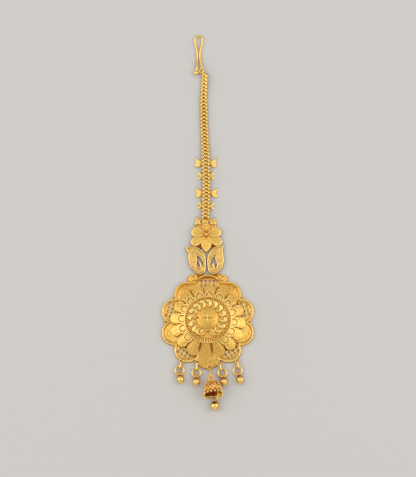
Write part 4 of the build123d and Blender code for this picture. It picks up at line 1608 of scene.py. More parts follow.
@dataclass(frozen=True)
class FlowerPetal:
    """Petal that points along an angle: its half width runs as t^root (1 - t)^end."""

    angle: float
    length: float
    width: float
    level: float  # height of its upper side at the root
    end: float = 0.5
    # painted shade of a petal that lies under its neighbours
    painted_shade: float = 0.0
    root: float = 0.75
    droop: float = 0.2
    lip: Place = (0.18, 0.02, 0.3)  # height, and the distances over which it rises
    cup: Place = (0.06, 0.45, 0.8)  # depth, and the distances over which it falls
    drop: float = 0.12
    vein: Place = (0.035, 10.0, 0.6)  # depth, angle between two veins, start before x = 0
    vein_span: Span = (0.5, 0.8)
    vein_from: float = 0.8
    foot: Place = (0.1, 0.6, 2.6)  # depth, and the x over which it rises
    painted_sheen: float = 0.14

    def outline(self) -> Array:
        """Rim of the petal along +X, counter-clockwise.

        Returns:
            Corners, one row each.
        """
        t = (1 - np.cos(np.linspace(0, np.pi, 30))) / 2
        peak = self.root / (self.root + self.end)
        swell = t**self.root * (1 - t) ** self.end / (peak**self.root * (1 - peak) ** self.end)
        upper = np.stack([self.length * t, self.width / 2 * swell], axis=1)
        return np.vstack([(upper * [1, -1])[:-1], upper[:0:-1]])

    def form(self, x: Array, y: Array) -> Array:
        """Smooth height of the petal, which droops towards its tip."""
        return self.level - self.droop * ease(0.5 * self.length, self.length, x) + 0 * y

    def relief(self, x: Array, y: Array, inside: Array) -> Array:
        """Lip behind a low edge, shallow cup, veins that run apart, and the dip at the root.

        Args:
            x, y: plan coordinates of the petal along +X.
            inside: distance inside its outline.

        Returns:
            Height above the form.
        """
        (high, *rise), (deep, *fall), (low, *foot) = self.lip, self.cup, self.foot
        lip = high * ease(*rise, inside) - deep * ease(*fall, inside) - self.drop
        depth, pitch, before = self.vein
        turn = np.arctan2(y, x + before) / np.radians(pitch)
        vein = depth * np.cos(2 * np.pi * turn) * ease(*self.vein_span, inside)
        return lip + vein * (x > self.vein_from) - low * (1 - ease(*foot, x))

    def mesh(self, bottom: float) -> Mesh:
        """The petal, turned to its angle.

        Args:
            bottom: height of the flower's underside.

        Returns:
            Points, faces and relief marks.
        """
        outline, tip = self.outline(), self.length
        thick = self.level - bottom - 0.25
        middle = (0.58 * tip, 0)
        points, faces, marks = boss(outline, middle, self.form, self.relief, thick, rings=18, depth=0.13)
        # the underside is painted in shade; the petal gets a painted sheen towards its tip, less its painted
        # shade
        marks[-len(outline) - 1 :] = 0.0
        painted_sheen = self.painted_sheen * ease(0.35 * tip, 0.85 * tip, points[:, 0]) - self.painted_shade
        return spun((points, faces, marks + painted_sheen), [self.angle])


@dataclass
class Flower:
    """Six cupped petals that overlap, with a bead in a cup in the middle."""

    centre: Place = (-0.6, 34.65)
    petals: tuple[FlowerPetal, ...] = (
        FlowerPetal(92, 5.0, 3.7, 1.28, 0.5, 0.22),
        FlowerPetal(270, 7.0, 4.2, 1.35, 0.85),
        FlowerPetal(213, 6.9, 3.9, 1.45, 0.42),
        FlowerPetal(328, 7.0, 3.9, 1.5, 0.42),
        FlowerPetal(164, 6.0, 4.1, 1.6, 0.42),
        FlowerPetal(15, 5.9, 4.2, 1.66, 0.42),
    )
    bottom: float = 0.45
    cup: tuple[Span, ...] = ((0, 0.5), (0.95, 0.5), (0.95, 1.6), (0.8, 1.72), (0.62, 1.62), (0, 1.62))
    bead: Span = (0.6, 1.9)  # radius and height of its middle

    def build(self) -> Piece:
        """Lays the lower petals first and the upper ones over them.

        Returns:
            The flower's object.
        """
        work, place = Work("flower"), np.array([*self.centre, 0.0])
        for petal in self.petals:
            work.add(moved(petal.mesh(self.bottom), np.eye(3), place))
        radius, level = self.bead
        # the cup round the bead is painted in shade, and the bead carries a painted highlight
        work.add(moved(lathe(self.cup, 40), np.eye(3), place), 0.1)
        work.add(moved(ball(radius, 24), np.eye(3), place + UP * level), 1.0)
        return work.piece(SATIN, Slot.STAMPED, "flower")


@dataclass
class Crest:
    """Pierced strip behind the flower that ends in two tulip buds. Its foot, under the leaves and petals, is
    painted in shade.
    """

    corners: tuple[Place, ...] = (
        (-6.5, 29.4), (-6.5, 31.2), (-4.4, 33.0), (-4.4, 38.0), (-5.4, 38.7), (-4.75, 40.4),
        (-4.55, 42.0), (-3.4, 41.3), (-2.4, 41.1), (-2.0, 41.9), (0.4, 41.9), (0.8, 40.8),
        (1.7, 40.9), (3.1, 41.9), (3.0, 40.3), (3.75, 39.0), (3.2, 38.2), (3.2, 33.0),
        (5.3, 31.2), (5.3, 29.4),
    )
    holes: tuple[Place, ...] = ((-2.55, 40.0), (0.55, 39.6))
    hole_radius: float = 0.45
    foot: float = 0.2
    shoulder: Span = (0.2, 0.4)  # height and reach of the rounded edge
    bud: Place = (0.3, 38.5, 39.2)  # rise, and the y over which it comes
    edge_line: EdgeLine = EdgeLine((0.25, 0.45, 0.08), (0.62, 0.45, 0.04))
    middle: Place = (-0.95, 0.6, 0.08)  # x, width and depth of the groove between the buds
    painted_shade: Place = (0.6, 32, 38.2)  # painted shade on the foot: how dark, and the y over which it clears
    step: float = 0.11

    def __post_init__(self) -> None:
        """Keeps the corners as an array."""
        self.outline = np.array(self.corners)

    def edge(self, x: Array, y: Array) -> Array:
        """Signed distance to the outline or a hole, less than 0 in the metal.

        Args:
            x, y: plan coordinates.

        Returns:
            The distance.
        """
        away = outline_edge(x, y, self.outline)
        for place in self.holes:
            away = np.maximum(away, self.hole_radius - np.hypot(x - place[0], y - place[1]))
        return away

    def height(self, x: Array, y: Array, inside: Array) -> Array:
        """Height of the strip: rounded edges, lines along them and raised buds.

        Args:
            x, y: plan coordinates.
            inside: distance inside the outline and the holes.

        Returns:
            The heights.
        """
        (rise, *span), (high, reach), (line, width, depth) = self.bud, self.shoulder, self.middle
        bud = ease(*span, y)
        form = self.foot + rise * bud + high * dent(inside, reach)
        return form + self.edge_line.height(inside) - depth * nick(x - line, width) * bud

    def build(self) -> Piece:
        """Presses the strip.

        Returns:
            The strip's object.
        """
        sheet = Stamping(self.edge, self.height, flat(0.0), room_round(self.outline), self.step, 0.16, 0.5)
        points, faces, marks = sheet.mesh()
        dark, *span = self.painted_shade
        shaded = marks - dark * (1 - ease(*span, points[:, 1]))
        return Work("crest_plate").add((points, faces, shaded)).piece(SATIN, Slot.STAMPED, "crest_plate")


class CharmKind(Enum):
    """Shapes of the charms behind the chain."""

    TULIP = "tulip"
    CLOVER = "clover"


@dataclass
class Charm:
    """Small charm on a bar behind the chain: two tulip wings, or four round knobs.

    A wing is a sheet whose faces swell from its rim by a quarter circle, with a slanting
    groove across it. A knob is a ball pressed flat.
    """

    name: str
    kind: CharmKind
    place: Place
    turn: float = 0.0
    wing: tuple[Span, ...] = (
        (0, -0.6), (1.7, -0.6), (2.4, -1.5), (3.0, -1.95), (3.7, -1.95), (4.1, -1.55), (4.3, -0.6),
        (3.95, 0.0), (3.9, 0.7), (4.15, 1.35), (4.6, 1.9), (3.5, 1.65), (2.6, 1.2), (1.7, 0.85), (0, 0.85),
    )
    wing_box: Place = (-4.9, 4.9, -2.2, 2.2)
    wing_height: Place = (0.34, 0.26, 0.55)  # lowest height, rise and reach
    wing_line: Place = (2.95, 0.25, 0.5, 0.16)  # distance from the middle, slant, width, depth
    wing_highlight: Place = (0.2, 2.0, 3.0)  # painted highlight: how bright its end is, and where that starts and ends
    bar_half: Span = (2.5, 0.65)
    bar_height: Place = (0.4, 0.1, 0.4)  # lowest height, rise and reach
    knob_radius: float = 0.72
    knob_press: float = 0.42
    knob_place: Place = (2.45, 0.84, 0.3)

    def wing_top(self, x: Array, y: Array, inside: Array) -> Array:
        """Height of the wings.

        Args:
            x, y: plan coordinates.
            inside: distance inside the outline.

        Returns:
            The heights.
        """
        (low, rise, reach), (away, slant, width, depth) = self.wing_height, self.wing_line
        line = nick(np.abs(x) - away - slant * y, width) * (inside > 0.2)
        return low + rise * dent(inside, reach) - depth * line

    def tulip(self) -> Mesh:
        """Sheet with a wing on each side.

        Returns:
            Points, faces and relief marks.
        """
        right = np.array(self.wing)
        outline = np.vstack([right, (right * [-1, 1])[::-1]])
        edge = functools.partial(outline_edge, outline=outline)
        sheet = Stamping(edge, self.wing_top, flat(0.0), self.wing_box, 0.1, 0.12, 0.4)
        points, faces, marks = sheet.mesh()
        bright, *span = self.wing_highlight
        return points, faces, marks + bright * ease(*span, np.abs(points[:, 0]))

    def clover(self) -> Mesh:
        """Bar with four knobs.

        Returns:
            Points, faces and relief marks.
        """
        half, up = self.bar_half
        outline = dense(np.array([(-half, -up), (half, -up), (half, up), (-half, up)]), 0.2)
        low, rise, reach = self.bar_height
        bar = boss(
            outline, (0, 0), lambda x, y: np.full_like(x, low),
            lambda x, y, inside: rise * dent(inside, reach), low, 8,
        )
        out, up, level = self.knob_place
        places = np.array([(x, y, level) for x in (-out, out) for y in (-up, up)])
        squash = np.broadcast_to(np.diag([1.0, 1.0, self.knob_press]), (len(places), 3, 3))
        knobs = repeated(ball(self.knob_radius, 24), squash, places)
        points = np.vstack([bar[0], knobs[0]])
        faces = list(bar[1]) + [part + len(bar[0]) for part in knobs[1]]
        # the knobs carry a painted highlight
        return points, faces, np.concatenate([bar[2], np.full(len(knobs[0]), 0.8)])

    def build(self) -> Piece:
        """Makes the charm and lays it at its place.

        Returns:
            The charm's object.
        """
        mesh = self.tulip() if self.kind is CharmKind.TULIP else self.clover()
        laid = moved(spun(mesh, [self.turn]), np.eye(3), np.array([*self.place, 0.0]))
        return Work(self.name).add(laid).piece(SATIN, Slot.STAMPED, self.name)


CHARMS = (
    Charm("tulip_charm_upper", CharmKind.TULIP, (-0.8, 63.5)),
    Charm("clover_charm_upper", CharmKind.CLOVER, (-0.6, 58.4)),
    Charm("tulip_charm_lower", CharmKind.TULIP, (-0.5, 51.5)),
    Charm("clover_charm_lower", CharmKind.CLOVER, (-0.7, 46.4), -4.0),
)


# ---- hook and chain ----
def oval_link(end_a: Place, end_b: Place, across: Array, thick: float, high: float, steps: int = 40) -> Mesh:
    """Closed oval link of round wire between its two outer ends.

    Args:
        end_a: outermost point at one end.
        end_b: the same at the other end.
        across: direction in which the link is tall.
        thick: diameter of the wire.
        high: outer height of the link.
        steps: points along the wire.

    Returns:
        Points, faces and relief marks.
    """
    start, end = np.array(end_a, float), np.array(end_b, float)
    lead = unit(end - start)
    normal = unit(np.cross(lead, across))
    radius = (high - thick) / 2
    stretch = np.linalg.norm(end - start) - high
    turn = basis(normal, lead)
    return moved(wire(ring_path(radius, steps, stretch), UP, thick, 12), turn, (start + end) / 2)


@dataclass
class HairHook:
    """Bent wire hook with a ball tip, a collar and an eye.

    The wire is drawn round its corners by parabolas. The eye is a circle of wire.
    """

    route: tuple[Place, ...] = (
        # x, y, z of the wire's corners, from the ball tip round to the eye
        (-4.60, 99.40, 0.95), (-4.20, 101.20, 1.15), (-4.20, 104.60, 0.55), (-4.00, 108.40, 0.40),
        (-4.98, 111.20, 0.40), (-4.94, 114.20, 0.40), (-2.16, 114.20, 0.40), (-2.10, 111.30, 0.40),
        (-3.15, 108.40, 0.40), (-3.10, 105.40, 0.50), (-2.40, 102.40, 0.95), (-2.42, 100.90, 1.05),
    )
    thick: float = 0.8
    tip: float = 0.92
    eye: Place = (-2.45, 100.15, 1.1)
    eye_radius: float = 0.75
    eye_wire: float = 0.6
    collar: Place = (-2.42, 101.3, 1.03)
    collar_profile: tuple[Span, ...] = (
        (0, -0.5), (0.5, -0.5), (0.66, -0.42), (0.7, -0.25), (0.62, -0.12), (0.62, 0.12), (0.7, 0.25),
        (0.66, 0.42), (0.5, 0.5), (0, 0.5),
    )
    stub: tuple[Place, Place] = ((-4.15, 99.5, 0.78), (-2.85, 99.75, 0.62))  # ends of the side wire
    chain_eye: Place = (-1.50, 98.15, 1.1)
    ring_wire: float = 0.45
    ring_height: float = 1.9

    def build(self) -> list[Piece]:
        """Bends the hook and closes the ring between it and the chain.

        Returns:
            The objects of the hook and the ring.
        """
        work = Work("hair_hook").add(wire(bent_line(self.route, 14), UP, self.thick, 16, closed=False))
        # the ball tip carries a painted highlight; the eye and the side wire are painted in shade
        work.add(moved(ball(self.tip, 28), np.eye(3), self.route[0]), 0.8)
        along = basis(np.array([0, 1.0, 0]), np.array([1.0, 0, 0]))
        work.add(moved(lathe(self.collar_profile, 28), along, self.collar))
        eye = wire(ring_path(self.eye_radius, 36), UP, self.eye_wire, 14)
        work.add(moved(eye, np.eye(3), self.eye), 0.34)
        stub = np.linspace(np.array(self.stub[0]), np.array(self.stub[1]), 6)
        work.add(wire(stub, UP, self.eye_wire, 12, closed=False), 0.35)
        start, end = np.array(self.eye), np.array(self.chain_eye)
        lead = unit(end - start) * self.ring_wire / 2
        ring = oval_link(start - lead, end + lead, UP, self.ring_wire, self.ring_height)
        return [
            work.piece(MIRROR, Slot.POLISHED, "hair_hook"),
            Work("hook_ring").add(ring).piece(MIRROR, Slot.POLISHED, "hook_ring"),
        ]


@dataclass(frozen=True)
class Link:
    """Ring of round wire, pressed to an oval and then tipped. Its colour is painted from shade at its lowest
    point to a highlight at its top.
    """

    half: float  # radius of the wire's line across the chain
    reach: float  # the same along the chain
    thick: float
    tip: float  # degrees by which it is tipped back about X
    lean: float = 0.0  # degrees by which it then leans about Y
    floor_shade_mark: float = 0.1  # painted shade: relief mark at its lowest point
    # painted highlight: relief mark at its highest point
    top_highlight_mark: float = 0.85
    rise: Span = (0.3, 0.8)  # shares of its height over which the mark changes

    def mesh(self, hand: float = 1.0) -> Mesh:
        """The ring about its middle, with +Z out of the chain.

        Args:
            hand: 1, or -1 to mirror the lean.

        Returns:
            Points, faces and relief marks.
        """
        path = ring_path(self.half, 22) * np.array([1.0, self.reach / self.half, 1.0])
        points, faces, _ = wire(path, UP, self.thick, 9)
        tip, lean = np.radians(self.tip), np.radians(self.lean) * hand
        nod = np.array([[1, 0, 0], [0, np.cos(tip), -np.sin(tip)], [0, np.sin(tip), np.cos(tip)]])
        sway = np.array([[np.cos(lean), 0, np.sin(lean)], [0, 1, 0], [-np.sin(lean), 0, np.cos(lean)]])
        points = points @ (sway @ nod).T
        rise = ease(*self.rise, (points[:, 2] - points[:, 2].min()) / np.ptp(points[:, 2]))
        return points, faces, self.floor_shade_mark + (self.top_highlight_mark - self.floor_shade_mark) * rise


@dataclass
class Chain:
    """Flat woven chain that shows three rows of link bends.

    Steep rings make the middle row. Half a pitch from them, leaning rings make the rows on
    both sides, and flat rings below them tie the rows together. The links near the hook are
    rolled about the chain's line.
    """

    route: tuple[Place, ...] = (
        # x, y, z of the corners, from the hook down to the crest
        (-1.25, 98.80, 1.00), (-1.38, 97.30, 0.78), (-1.50, 94.00, 0.72), (-1.68, 89.40, 0.72),
        (-1.50, 83.60, 0.72), (-1.42, 77.60, 0.72), (-1.12, 71.80, 0.76), (-0.82, 66.40, 1.36),
        (-0.68, 60.20, 1.38), (-0.52, 53.80, 1.38), (-0.66, 47.40, 1.40), (-0.90, 41.40, 1.50),
    )
    pitch: float = 1.41
    start: float = 0.1  # distance of the first link from the upper end
    reach: float = 0.4  # distance over which the chain's direction is taken
    middle: Link = Link(0.44, 0.43, 0.72, 42.0, 0.0, 0.3, 1.0)
    side: Link = Link(0.3, 0.34, 0.64, 0.0, 50.0, 0.14, 1.0)
    # the flat rings below are painted deep in shade
    under: Link = Link(0.8, 0.42, 0.56, 20.0, 0.0, 0.02, 0.18)
    side_place: float = 1.13
    narrowing: Place = (0.22, 5, 16)  # share, and the distances over which it fades
    under_drop: float = 0.22
    slant: float = 30.0  # degrees
    slant_spans: tuple[Span, Span] = ((14, 26), (4, 11))  # where it comes back, and before that fades
    roll: Place = (22.0, 2.0, 12.0)  # degrees, and the distances over which it fades
    roll_lift: float = 0.88
    end_link: Place = (-1.50, 98.15, 1.1)
    end_radius: float = 0.7
    end_wire: float = 0.56

    def frames(self, count: int, start: float) -> tuple[Array, Array, Array]:
        """Places and directions along the chain.

        Args:
            count: places wanted.
            start: distance of the first from the chain's upper end.

        Returns:
            Places, turns with columns across, along and up, and the distance of each place.
        """
        line = bent_line(self.route, 24)
        run = np.append(0, np.cumsum(np.linalg.norm(np.diff(line, axis=0), axis=1)))
        away = start + self.pitch * np.arange(count)
        places, near, far = (
            np.stack([np.interp(away + shift, run, line[:, k]) for k in range(3)], axis=1)
            for shift in (0, self.reach, -self.reach)
        )
        along = unit(near - far)
        across = -unit(np.cross(along, UP))
        up = -np.cross(across, along)
        angle, *fade = self.roll
        roll = np.radians(angle * (1 - ease(*fade, away)))[:, None]
        rolled = across * np.cos(roll) + up * np.sin(roll)
        raised = up * np.cos(roll) - across * np.sin(roll)
        lift = self.roll_lift * np.abs(np.sin(roll)) * UP
        return places + lift, np.stack([rolled, along, raised], axis=2), away

    def build(self) -> Piece:
        """Strings the links and adds the open link at the top.

        Returns:
            The chain's object.
        """
        line = bent_line(self.route, 24)
        length = np.linalg.norm(np.diff(line, axis=0), axis=1).sum()
        count = int((length + self.pitch / 2) / self.pitch)
        places, turns, away = self.frames(count, self.start)
        begin, finish = self.slant_spans
        slant = self.slant * np.maximum(ease(*begin, away), 1 - ease(*finish, away))
        work = Work("chain").add(repeated(self.middle.mesh(), turns @ upright_turns(slant), places))
        half_places, half_turns, half_away = self.frames(count, self.start + self.pitch / 2)
        for at, turn in ((places, turns), (half_places, half_turns)):
            work.add(repeated(self.under.mesh(), turn, at - turn[:, :, 2] * self.under_drop))
        share, *fade = self.narrowing
        aside = self.side_place * (1 - share * (1 - ease(*fade, half_away)))
        for hand in (-1, 1):
            at = half_places + half_turns[:, :, 0] * hand * aside[:, None]
            work.add(repeated(self.side.mesh(hand), half_turns, at))
        end = wire(ring_path(self.end_radius, 30), UP, self.end_wire, 12)
        work.add(moved(end, np.eye(3), self.end_link), 0.6)
        return work.piece(BRIGHT, Slot.POLISHED, "chain")


# ---- drops and bell ----
@dataclass
class Drop:
    """Round jump ring with a ball that hangs from it by a broad strap and a flared cap."""

    number: int
    ring: Place
    ball: Place
    ring_radius: float = 1.65
    ring_wire: float = 0.7
    ring_height: float = 1.0
    radius: float = 1.5
    seat: float = 1.52
    strap_radius: float = 0.735
    strap_wall: float = 0.27
    strap_width: float = 1.7
    cap: tuple[Span, ...] = ((0, 0.8), (1.24, 0.76), (1.34, 0.86), (1.12, 1.2), (0.8, 1.45))
    neck: Span = (0.5, 0.75)  # radius of the cap's top, and its distance from the strap

    def build(self) -> list[Piece]:
        """Makes the ring, and the ball with its strap.

        Returns:
            The objects of the ring and the ball.
        """
        lead = unit(np.array([*self.ball, 0.0]) - np.array([*self.ring, 0.0]))
        circle = wire(ring_path(self.ring_radius, 56), UP, self.ring_wire, 16)
        ring = Work(f"ring_{self.number}").add(moved(circle, np.eye(3), (*self.ring, self.ring_height)))
        middle = np.array([*self.ball, self.radius])
        seat = np.array([*self.ring, 0.0]) + lead * self.seat + UP * self.ring_height
        across = np.cross(lead, UP)
        loop = wire(ring_path(self.strap_radius, 36), UP, self.strap_wall, 12, high=self.strap_width)
        # the strap and the cap are painted in shade
        work = Work(f"ball_drop_{self.number}").add(moved(loop, basis(across, lead), seat), 0.2)
        up, (neck, room) = unit(seat - middle), self.neck
        top = np.linalg.norm(seat - middle) - room
        cap = lathe([*self.cap, (neck, top), (0, top)], 32)
        work.add(moved(cap, basis(up, across), middle), 0.02)
        work.add(moved(ball(self.radius, 48), basis(up, across), middle))
        return [
            ring.piece(MIRROR, Slot.POLISHED, f"ring_{self.number}"),
            work.piece(MIRROR, Slot.POLISHED, f"ball_drop_{self.number}"),
        ]


DROPS = (
    Drop(1, (-11.0, -19.3), (-10.65, -23.0)),
    Drop(2, (-4.5, -20.2), (-4.5, -24.0)),
    Drop(3, (5.7, -20.2), (6.3, -24.0)),
    Drop(4, (11.6, -19.3), (12.6, -23.2)),
)


@dataclass
class Jhumki:
    """Filigree bell that lies on its rim, with the link and the ball that hang from it.

    The bell's own frame has its origin in the middle of the mouth and +Z towards the apex.
    The shell is a turned profile, and the filigree wires run on it: arches, crossing scrolls
    and granules.
    """

    pitch: float = 8.0
    lean: float = 7.5
    mouth_place: Place = (2.2, -29.83)
    rise: float = 4.066
    mouth: float = 3.58
    lip: float = 1.0
    height: float = 6.2
    shoulder: Span = (1.4, 0.1)  # height where the wall turns in, and its fall below
    apex: Place = (0.9, 2.58, 2.3, 1.25)  # radius there, growth below it, powers of the growth
    shell_wall: float = 0.35
    shell_shade_marks: Span = (0.04, 0.08)  # painted shade: relief marks outside between the wires and inside
    fringe_radius: float = 3.6
    rows: tuple[Place, ...] = (
        # height, granule radius, number, first angle, shift outwards, relief mark
        (0.74, 0.42, 16, 11.25, 0.22, 0.95), (2.3, 0.33, 12, 15.0, -0.06, 0.75),
        (3.9, 0.3, 10, 0.0, -0.06, 0.75), (5.0, 0.3, 7, 20.0, -0.02, 0.75),
    )
    hanging: Place = (-0.05, 0.4, 0.26)  # height and radius of the beads, width of their stalks
    hanging_angles: tuple[float, float, int] = (-8, 170, 8)  # first, last and number
    rings: tuple[Place, ...] = (
        # height, thickness, distance inwards, relief mark
        (5.55, 0.42, 0.02, 0.66), (3.15, 0.34, 0.02, 0.66),
    )
    rim: Place = (-8.0, 188.0, 0.75, 0.84, 0.1)  # first and last angle, height, width, inset
    floor_room: float = 0.16
    arches: int = 12
    arch: Place = (1.5, 1.25, 0.2, 0.7)  # foot, rise, change of the rise, power of its sine
    arch_wire: Span = (0.42, 0.74)  # width and relief mark
    scroll: Place = (2.35, 3.0)  # foot and rise
    scroll_sweep: Place = (1.3, 0.3, 0.22, 4)  # share of a step, its change, bend, shift in degrees
    scroll_wire: Span = (0.38, 0.66)
    top_loop: Place = (1.08, 0.62, 1.25)  # radius, width, distance above the apex
    eye_angle: float = 22.0
    eye_place: Place = (2.55, 1.6)
    eye_loop: Span = (0.7, 0.5)  # radius and width
    link: Span = (0.45, 1.7)  # width and height
    ball_place: Place = (2.7, -33.55, 1.7)
    ball_radius: float = 1.7
    ball_eye: Place = (3.50, -31.45, 1.85)
    ball_loop: Span = (0.6, 0.5)
    cap: tuple[Span, ...] = (
        (0, 0.8), (1.48, 0.78), (1.56, 0.9), (1.34, 1.25), (1.0, 1.6), (0.6, 1.8), (0, 1.8),
    )

    def __post_init__(self) -> None:
        """Works out the bell's turn and the place of its mouth."""
        pitch, lean = np.radians(self.pitch), np.radians(self.lean)
        self.axis = np.array([-np.sin(lean) * np.cos(pitch), np.cos(lean) * np.cos(pitch), -np.sin(pitch)])
        self.turn = basis(self.axis, np.array([np.cos(lean), np.sin(lean), 0.0]))
        self.origin = np.array([*self.mouth_place, self.rise])

    def wall(self, height: Array) -> Array:
        """Outer radius of the shell: a slight cone up to the shoulder, then a dome.

        Args:
            height: heights above the mouth.

        Returns:
            The radii.
        """
        (turn, fall), (apex, growth, bend, fullness) = self.shoulder, self.apex
        low = self.mouth - fall * height / turn
        share = np.clip((height - turn) / (self.height - turn), 0, 1)
        dome = apex + growth * np.sqrt(np.clip(1 - share**bend, 0, 1)) ** fullness
        return np.where(height < turn, low, dome)

    def on_wall(self, angle: Array, height: Array, out: float = 0.0) -> Array:
        """Points on the shell at angles in degrees and heights, moved outwards by out."""
        radius, turn = self.wall(height) + out, np.radians(angle)
        return np.stack([radius * np.cos(turn), radius * np.sin(turn), height], axis=1)

    def shell(self) -> Mesh:
        """Hollow shell, from the middle of its inside round the mouth to the apex.

        Returns:
            Points, faces and relief marks.
        """
        heights, top = np.linspace(self.lip, self.height, 26), self.height - self.shell_wall
        outer = np.stack([self.wall(heights), heights], axis=1)
        inside = np.maximum(outer[:-1, 0] - self.shell_wall, 0)
        inner = np.stack([inside, np.minimum(heights[:-1], top)], axis=1)
        points, faces, _ = lathe([(0, top), *inner[::-1], *outer, (0, self.height)], 64)
        outward = np.hypot(points[:, 0], points[:, 1]) > self.wall(points[:, 2]) - 0.2
        return points, faces, np.where(outward, *self.shell_shade_marks)

    def scrollwork(self, work: Work) -> None:
        """Lays an arch and two crossing scrolls on every part of the shell's round.

        Args:
            work: takes the wires.
        """
        share, step = np.linspace(0, 1, 22), 360 / self.arches
        foot, rise, change, power = self.arch
        turns, spread, bend, shift = self.scroll_sweep
        shake = np.random.default_rng(7).uniform(-1, 1, (self.arches, 3))
        for number, (first, second, third) in enumerate(shake):
            start = number * step
            height = foot + (rise + change * first) * np.sin(np.pi * share) ** power
            self.lay(work, self.on_wall(start + step * share, height, 0.02), *self.arch_wire)
            for hand in (-1, 1):
                sweep = (share - 0.5) * (turns + spread * second) + bend * np.sin(2 * np.pi * share)
                angle = start + hand * step * sweep + shift * third
                height = self.scroll[0] + self.scroll[1] * share
                self.lay(work, self.on_wall(angle, height, 0.02), *self.scroll_wire)

    def filigree(self, work: Work) -> None:
        """Lays scrollwork, granules, hanging beads, rings and the rim on the shell. Their marks paint
        highlights on the wires, granules and beads, and shade on the beads' stalks.

        Args:
            work: takes the wires and granules.
        """
        self.scrollwork(work)
        for height, radius, count, first, out, mark in self.rows:
            angle = first + np.arange(count) * 360 / count
            below = np.clip(np.sin(np.radians(angle)), 0, 1)
            places = self.on_wall(angle, np.full(count, height), out - self.floor_room * below * (height < 1))
            work.add(granules(radius, places, 12), mark)
        height, radius, thick = self.hanging
        for angle in np.linspace(*self.hanging_angles):
            bead = np.append(polar(self.fringe_radius, angle), height)
            work.add(granules(radius, bead[None], 12), 0.9)
            stalk = np.linspace(bead, np.append(polar(self.mouth - 0.15, angle), self.lip), 5)
            self.lay(work, stalk, thick, 0.0)
        for height, thick, inset, mark in self.rings:
            circle = ring_path(float(self.wall(np.array(height))) - inset, 72)
            work.add(moved(wire(circle, UP, thick, 12), np.eye(3), (0, 0, height)), mark)
        first, last, height, thick, inset = self.rim
        arc = arc_points((0, 0), self.mouth - inset, first, last, 48)
        arc = np.column_stack([arc, np.full(len(arc), height)])
        # the rim wire's mark paints a highlight on it in the mouth's shade
        work.add(wire(arc, UP, thick, 12, closed=False), 1.0)

    @staticmethod
    def lay(work: Work, path: Array, thick: float, mark: float) -> None:
        """Lays a thin wire along a path, with its width along the wall."""
        outward = unit(path * np.array([1, 1, 0]) + np.array([TINY, 0, 0]))
        work.add(wire(path, outward, thick, 8, closed=False), mark)

    def build(self) -> list[Piece]:
        """Makes the bell, the link and the ball.

        Returns:
            The objects of the bell, the link and the ball.
        """
        bell = Work("bell parts").add(self.shell())
        self.filigree(bell)
        along = basis(np.array([0, 1.0, 0]), np.array([1.0, 0, 0]))
        radius, thick, above = self.top_loop
        loop = wire(ring_path(radius, 40), UP, thick, 12)
        bell.add(moved(loop, along, (0, 0, self.height + above)), 0.6)
        work = Work("jhumki_bell")
        for part in bell.parts:
            work.add(moved(part, self.turn, self.origin))
        out, up = self.eye_place
        eye = self.turn @ np.append(polar(out, self.eye_angle), up) + self.origin
        ball_eye = np.array(self.ball_eye)
        lead = unit(ball_eye - eye)
        side = unit(np.cross(self.turn @ np.append(polar(1, self.eye_angle), 0), lead))
        radius, thick = self.eye_loop
        work.add(moved(wire(ring_path(radius, 32), UP, thick, 12), basis(side, lead), eye), 0.5)
        thick, high = self.link
        ends = eye - lead * thick / 2, ball_eye + lead * thick / 2
        link = Work("jhumki_link").add(oval_link(*ends, side, thick, high))
        middle = np.array(self.ball_place)
        top = Work("jhumki_ball").add(moved(ball(self.ball_radius, 52), np.eye(3), middle))
        # the ball's cap and loop are painted in the bell's shade
        top.add(moved(lathe(self.cap, 36), basis(np.array([0, 1.0, 0]), UP), middle), 0.02)
        radius, thick = self.ball_loop
        top.add(moved(wire(ring_path(radius, 30), UP, thick, 12), basis(side, lead), self.ball_eye), 0.3)
        return [
            work.piece(FILIGREE, Slot.STAMPED, "jhumki_bell"),
            link.piece(MIRROR, Slot.POLISHED, "jhumki_link"),
            top.piece(MIRROR, Slot.POLISHED, "jhumki_ball"),
        ]


def build_bails(thick: float = 0.6, high: float = 2.2) -> list[Piece]:
    """Oval bails between the plate and the rings.

    Args:
        thick: width of their wire.
        high: height of their oval.

    Returns:
        The bails' objects.
    """
    shown = []
    for number, (start, end) in enumerate(BAILS, start=1):
        # the bails carry a painted highlight
        bail = Work(f"bail_{number}").add(oval_link(start, end, UP, thick, high), 0.8)
        shown.append(bail.piece(BRIGHT, Slot.POLISHED, f"bail_{number}"))
    return shown


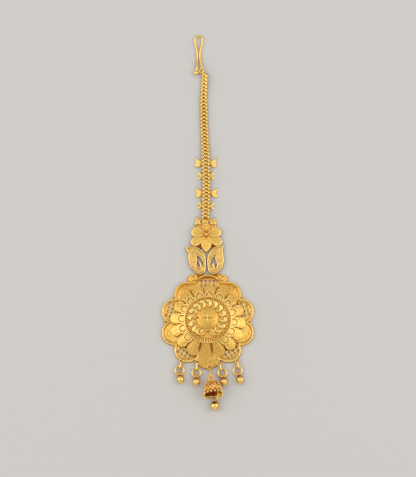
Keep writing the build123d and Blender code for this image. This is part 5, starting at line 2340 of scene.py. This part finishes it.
# ---- studio ----
@dataclass
class Studio:
    """Pale floor, soft light and the camera. Sizes are in metres."""

    elevation: float = 78.0
    distance: float = 6.0
    target: Place = (0.00008, -0.00648, 0.0011)
    field_width: float = 0.1622
    floor_half: float = 4.0
    floor_colour: Colour = (0.66, 0.65, 0.63)
    floor_gloss: Span = (0.8, 0.1)  # roughness and specular level
    world_colour: Colour = (1.0, 0.98, 0.95)
    world_level: float = 0.62
    boxes: tuple[tuple[str, Place, Span, float], ...] = (
        # name, place, width and height, power in watts
        ("left_box", (-0.75, 0.05, 0.62), (0.8, 0.9), 2.5),
        ("right_box", (0.75, 0.05, 0.62), (0.8, 0.9), 2.5),
        ("top_box", (0.0, 0.3, 1.1), (0.9, 0.5), 0.5),
        ("back_box", (0.0, 0.95, 0.6), (0.9, 0.4), 0.38),
        ("front_box", (0.0, -0.95, 0.38), (0.6, 0.3), 0.45),
    )

    def floor(self) -> None:
        """Large plain floor under the piece."""
        mesh, half = bpy.data.meshes.new("floor"), self.floor_half
        corners = [(-half, -half, 0), (half, -half, 0), (half, half, 0), (-half, half, 0)]
        mesh.from_pydata(corners, [], [(0, 1, 2, 3)])
        material = bpy.data.materials.new("pale_floor")
        material.use_nodes = True
        inputs = material.node_tree.nodes["Principled BSDF"].inputs
        inputs["Base Color"].default_value = (*self.floor_colour, 1)
        inputs["Roughness"].default_value, inputs["Specular IOR Level"].default_value = self.floor_gloss
        mesh.materials.append(material)
        shown = bpy.data.objects.new("floor", mesh)
        bpy.context.scene.collection.objects.link(shown)

    def light(self, name: str, place: Place, size: Span, power: float) -> None:
        """Soft box that looks at the middle of the piece.

        Args:
            name: the light's name.
            place: its place.
            size: its width and height.
            power: its power in watts.
        """
        lamp = bpy.data.lights.new(name, "AREA")
        lamp.shape = "RECTANGLE"
        lamp.size, lamp.size_y = size
        lamp.energy = power
        shown = bpy.data.objects.new(name, lamp)
        shown.location = place
        shown.rotation_euler = (Vector(self.target) - Vector(place)).to_track_quat("-Z", "Y").to_euler()
        bpy.context.scene.collection.objects.link(shown)

    def camera(self) -> None:
        """Long lens that looks at the piece from above its lower end."""
        lens = bpy.data.cameras.new("camera")
        lens.sensor_width = 36
        lens.sensor_fit = "HORIZONTAL"
        lens.lens = 36 * self.distance / self.field_width
        lens.clip_start, lens.clip_end = 0.01, 20
        camera = bpy.data.objects.new("camera", lens)
        rise = np.radians(self.elevation)
        offset = Vector((0, -np.cos(rise), np.sin(rise))) * self.distance
        camera.location = Vector(self.target) + offset
        camera.rotation_euler = (-offset).to_track_quat("-Z", "Y").to_euler()
        bpy.context.scene.collection.objects.link(camera)
        bpy.context.scene.camera = camera

    def build(self) -> None:
        """Sets up the floor, the lights, the world and the camera."""
        self.floor()
        for box in self.boxes:
            self.light(*box)
        world = bpy.data.worlds.new("studio")
        world.use_nodes = True
        world.node_tree.nodes["Background"].inputs["Color"].default_value = (*self.world_colour, 1)
        world.node_tree.nodes["Background"].inputs["Strength"].default_value = self.world_level
        bpy.context.scene.world = world
        self.camera()
        bpy.context.scene.view_settings.view_transform = "Standard"


def build_piece() -> list[Piece]:
    """Builds every piece of the tikka.

    Returns:
        The pieces' objects.
    """
    shown = [Backplate().build(), PetalTier().build(), ScallopTier().build(), CentreDisc().build()]
    shown += [LEFT_LEAF.build(), RIGHT_LEAF.build(), Flower().build(), Crest().build()]
    shown += [charm.build() for charm in CHARMS]
    shown += HairHook().build() + [Chain().build()] + build_bails()
    for drop in DROPS:
        shown += drop.build()
    return shown + Jhumki().build()


def main() -> None:
    """Builds the piece and its studio."""
    logging.basicConfig(level=logging.INFO, format="%(name)s: %(message)s")
    shown = build_piece()
    Studio().build()
    LOG.info("pieces: %d, faces: %d", len(shown), sum(len(piece.data.polygons) for piece in shown))


if __name__ == "__main__":
    main()
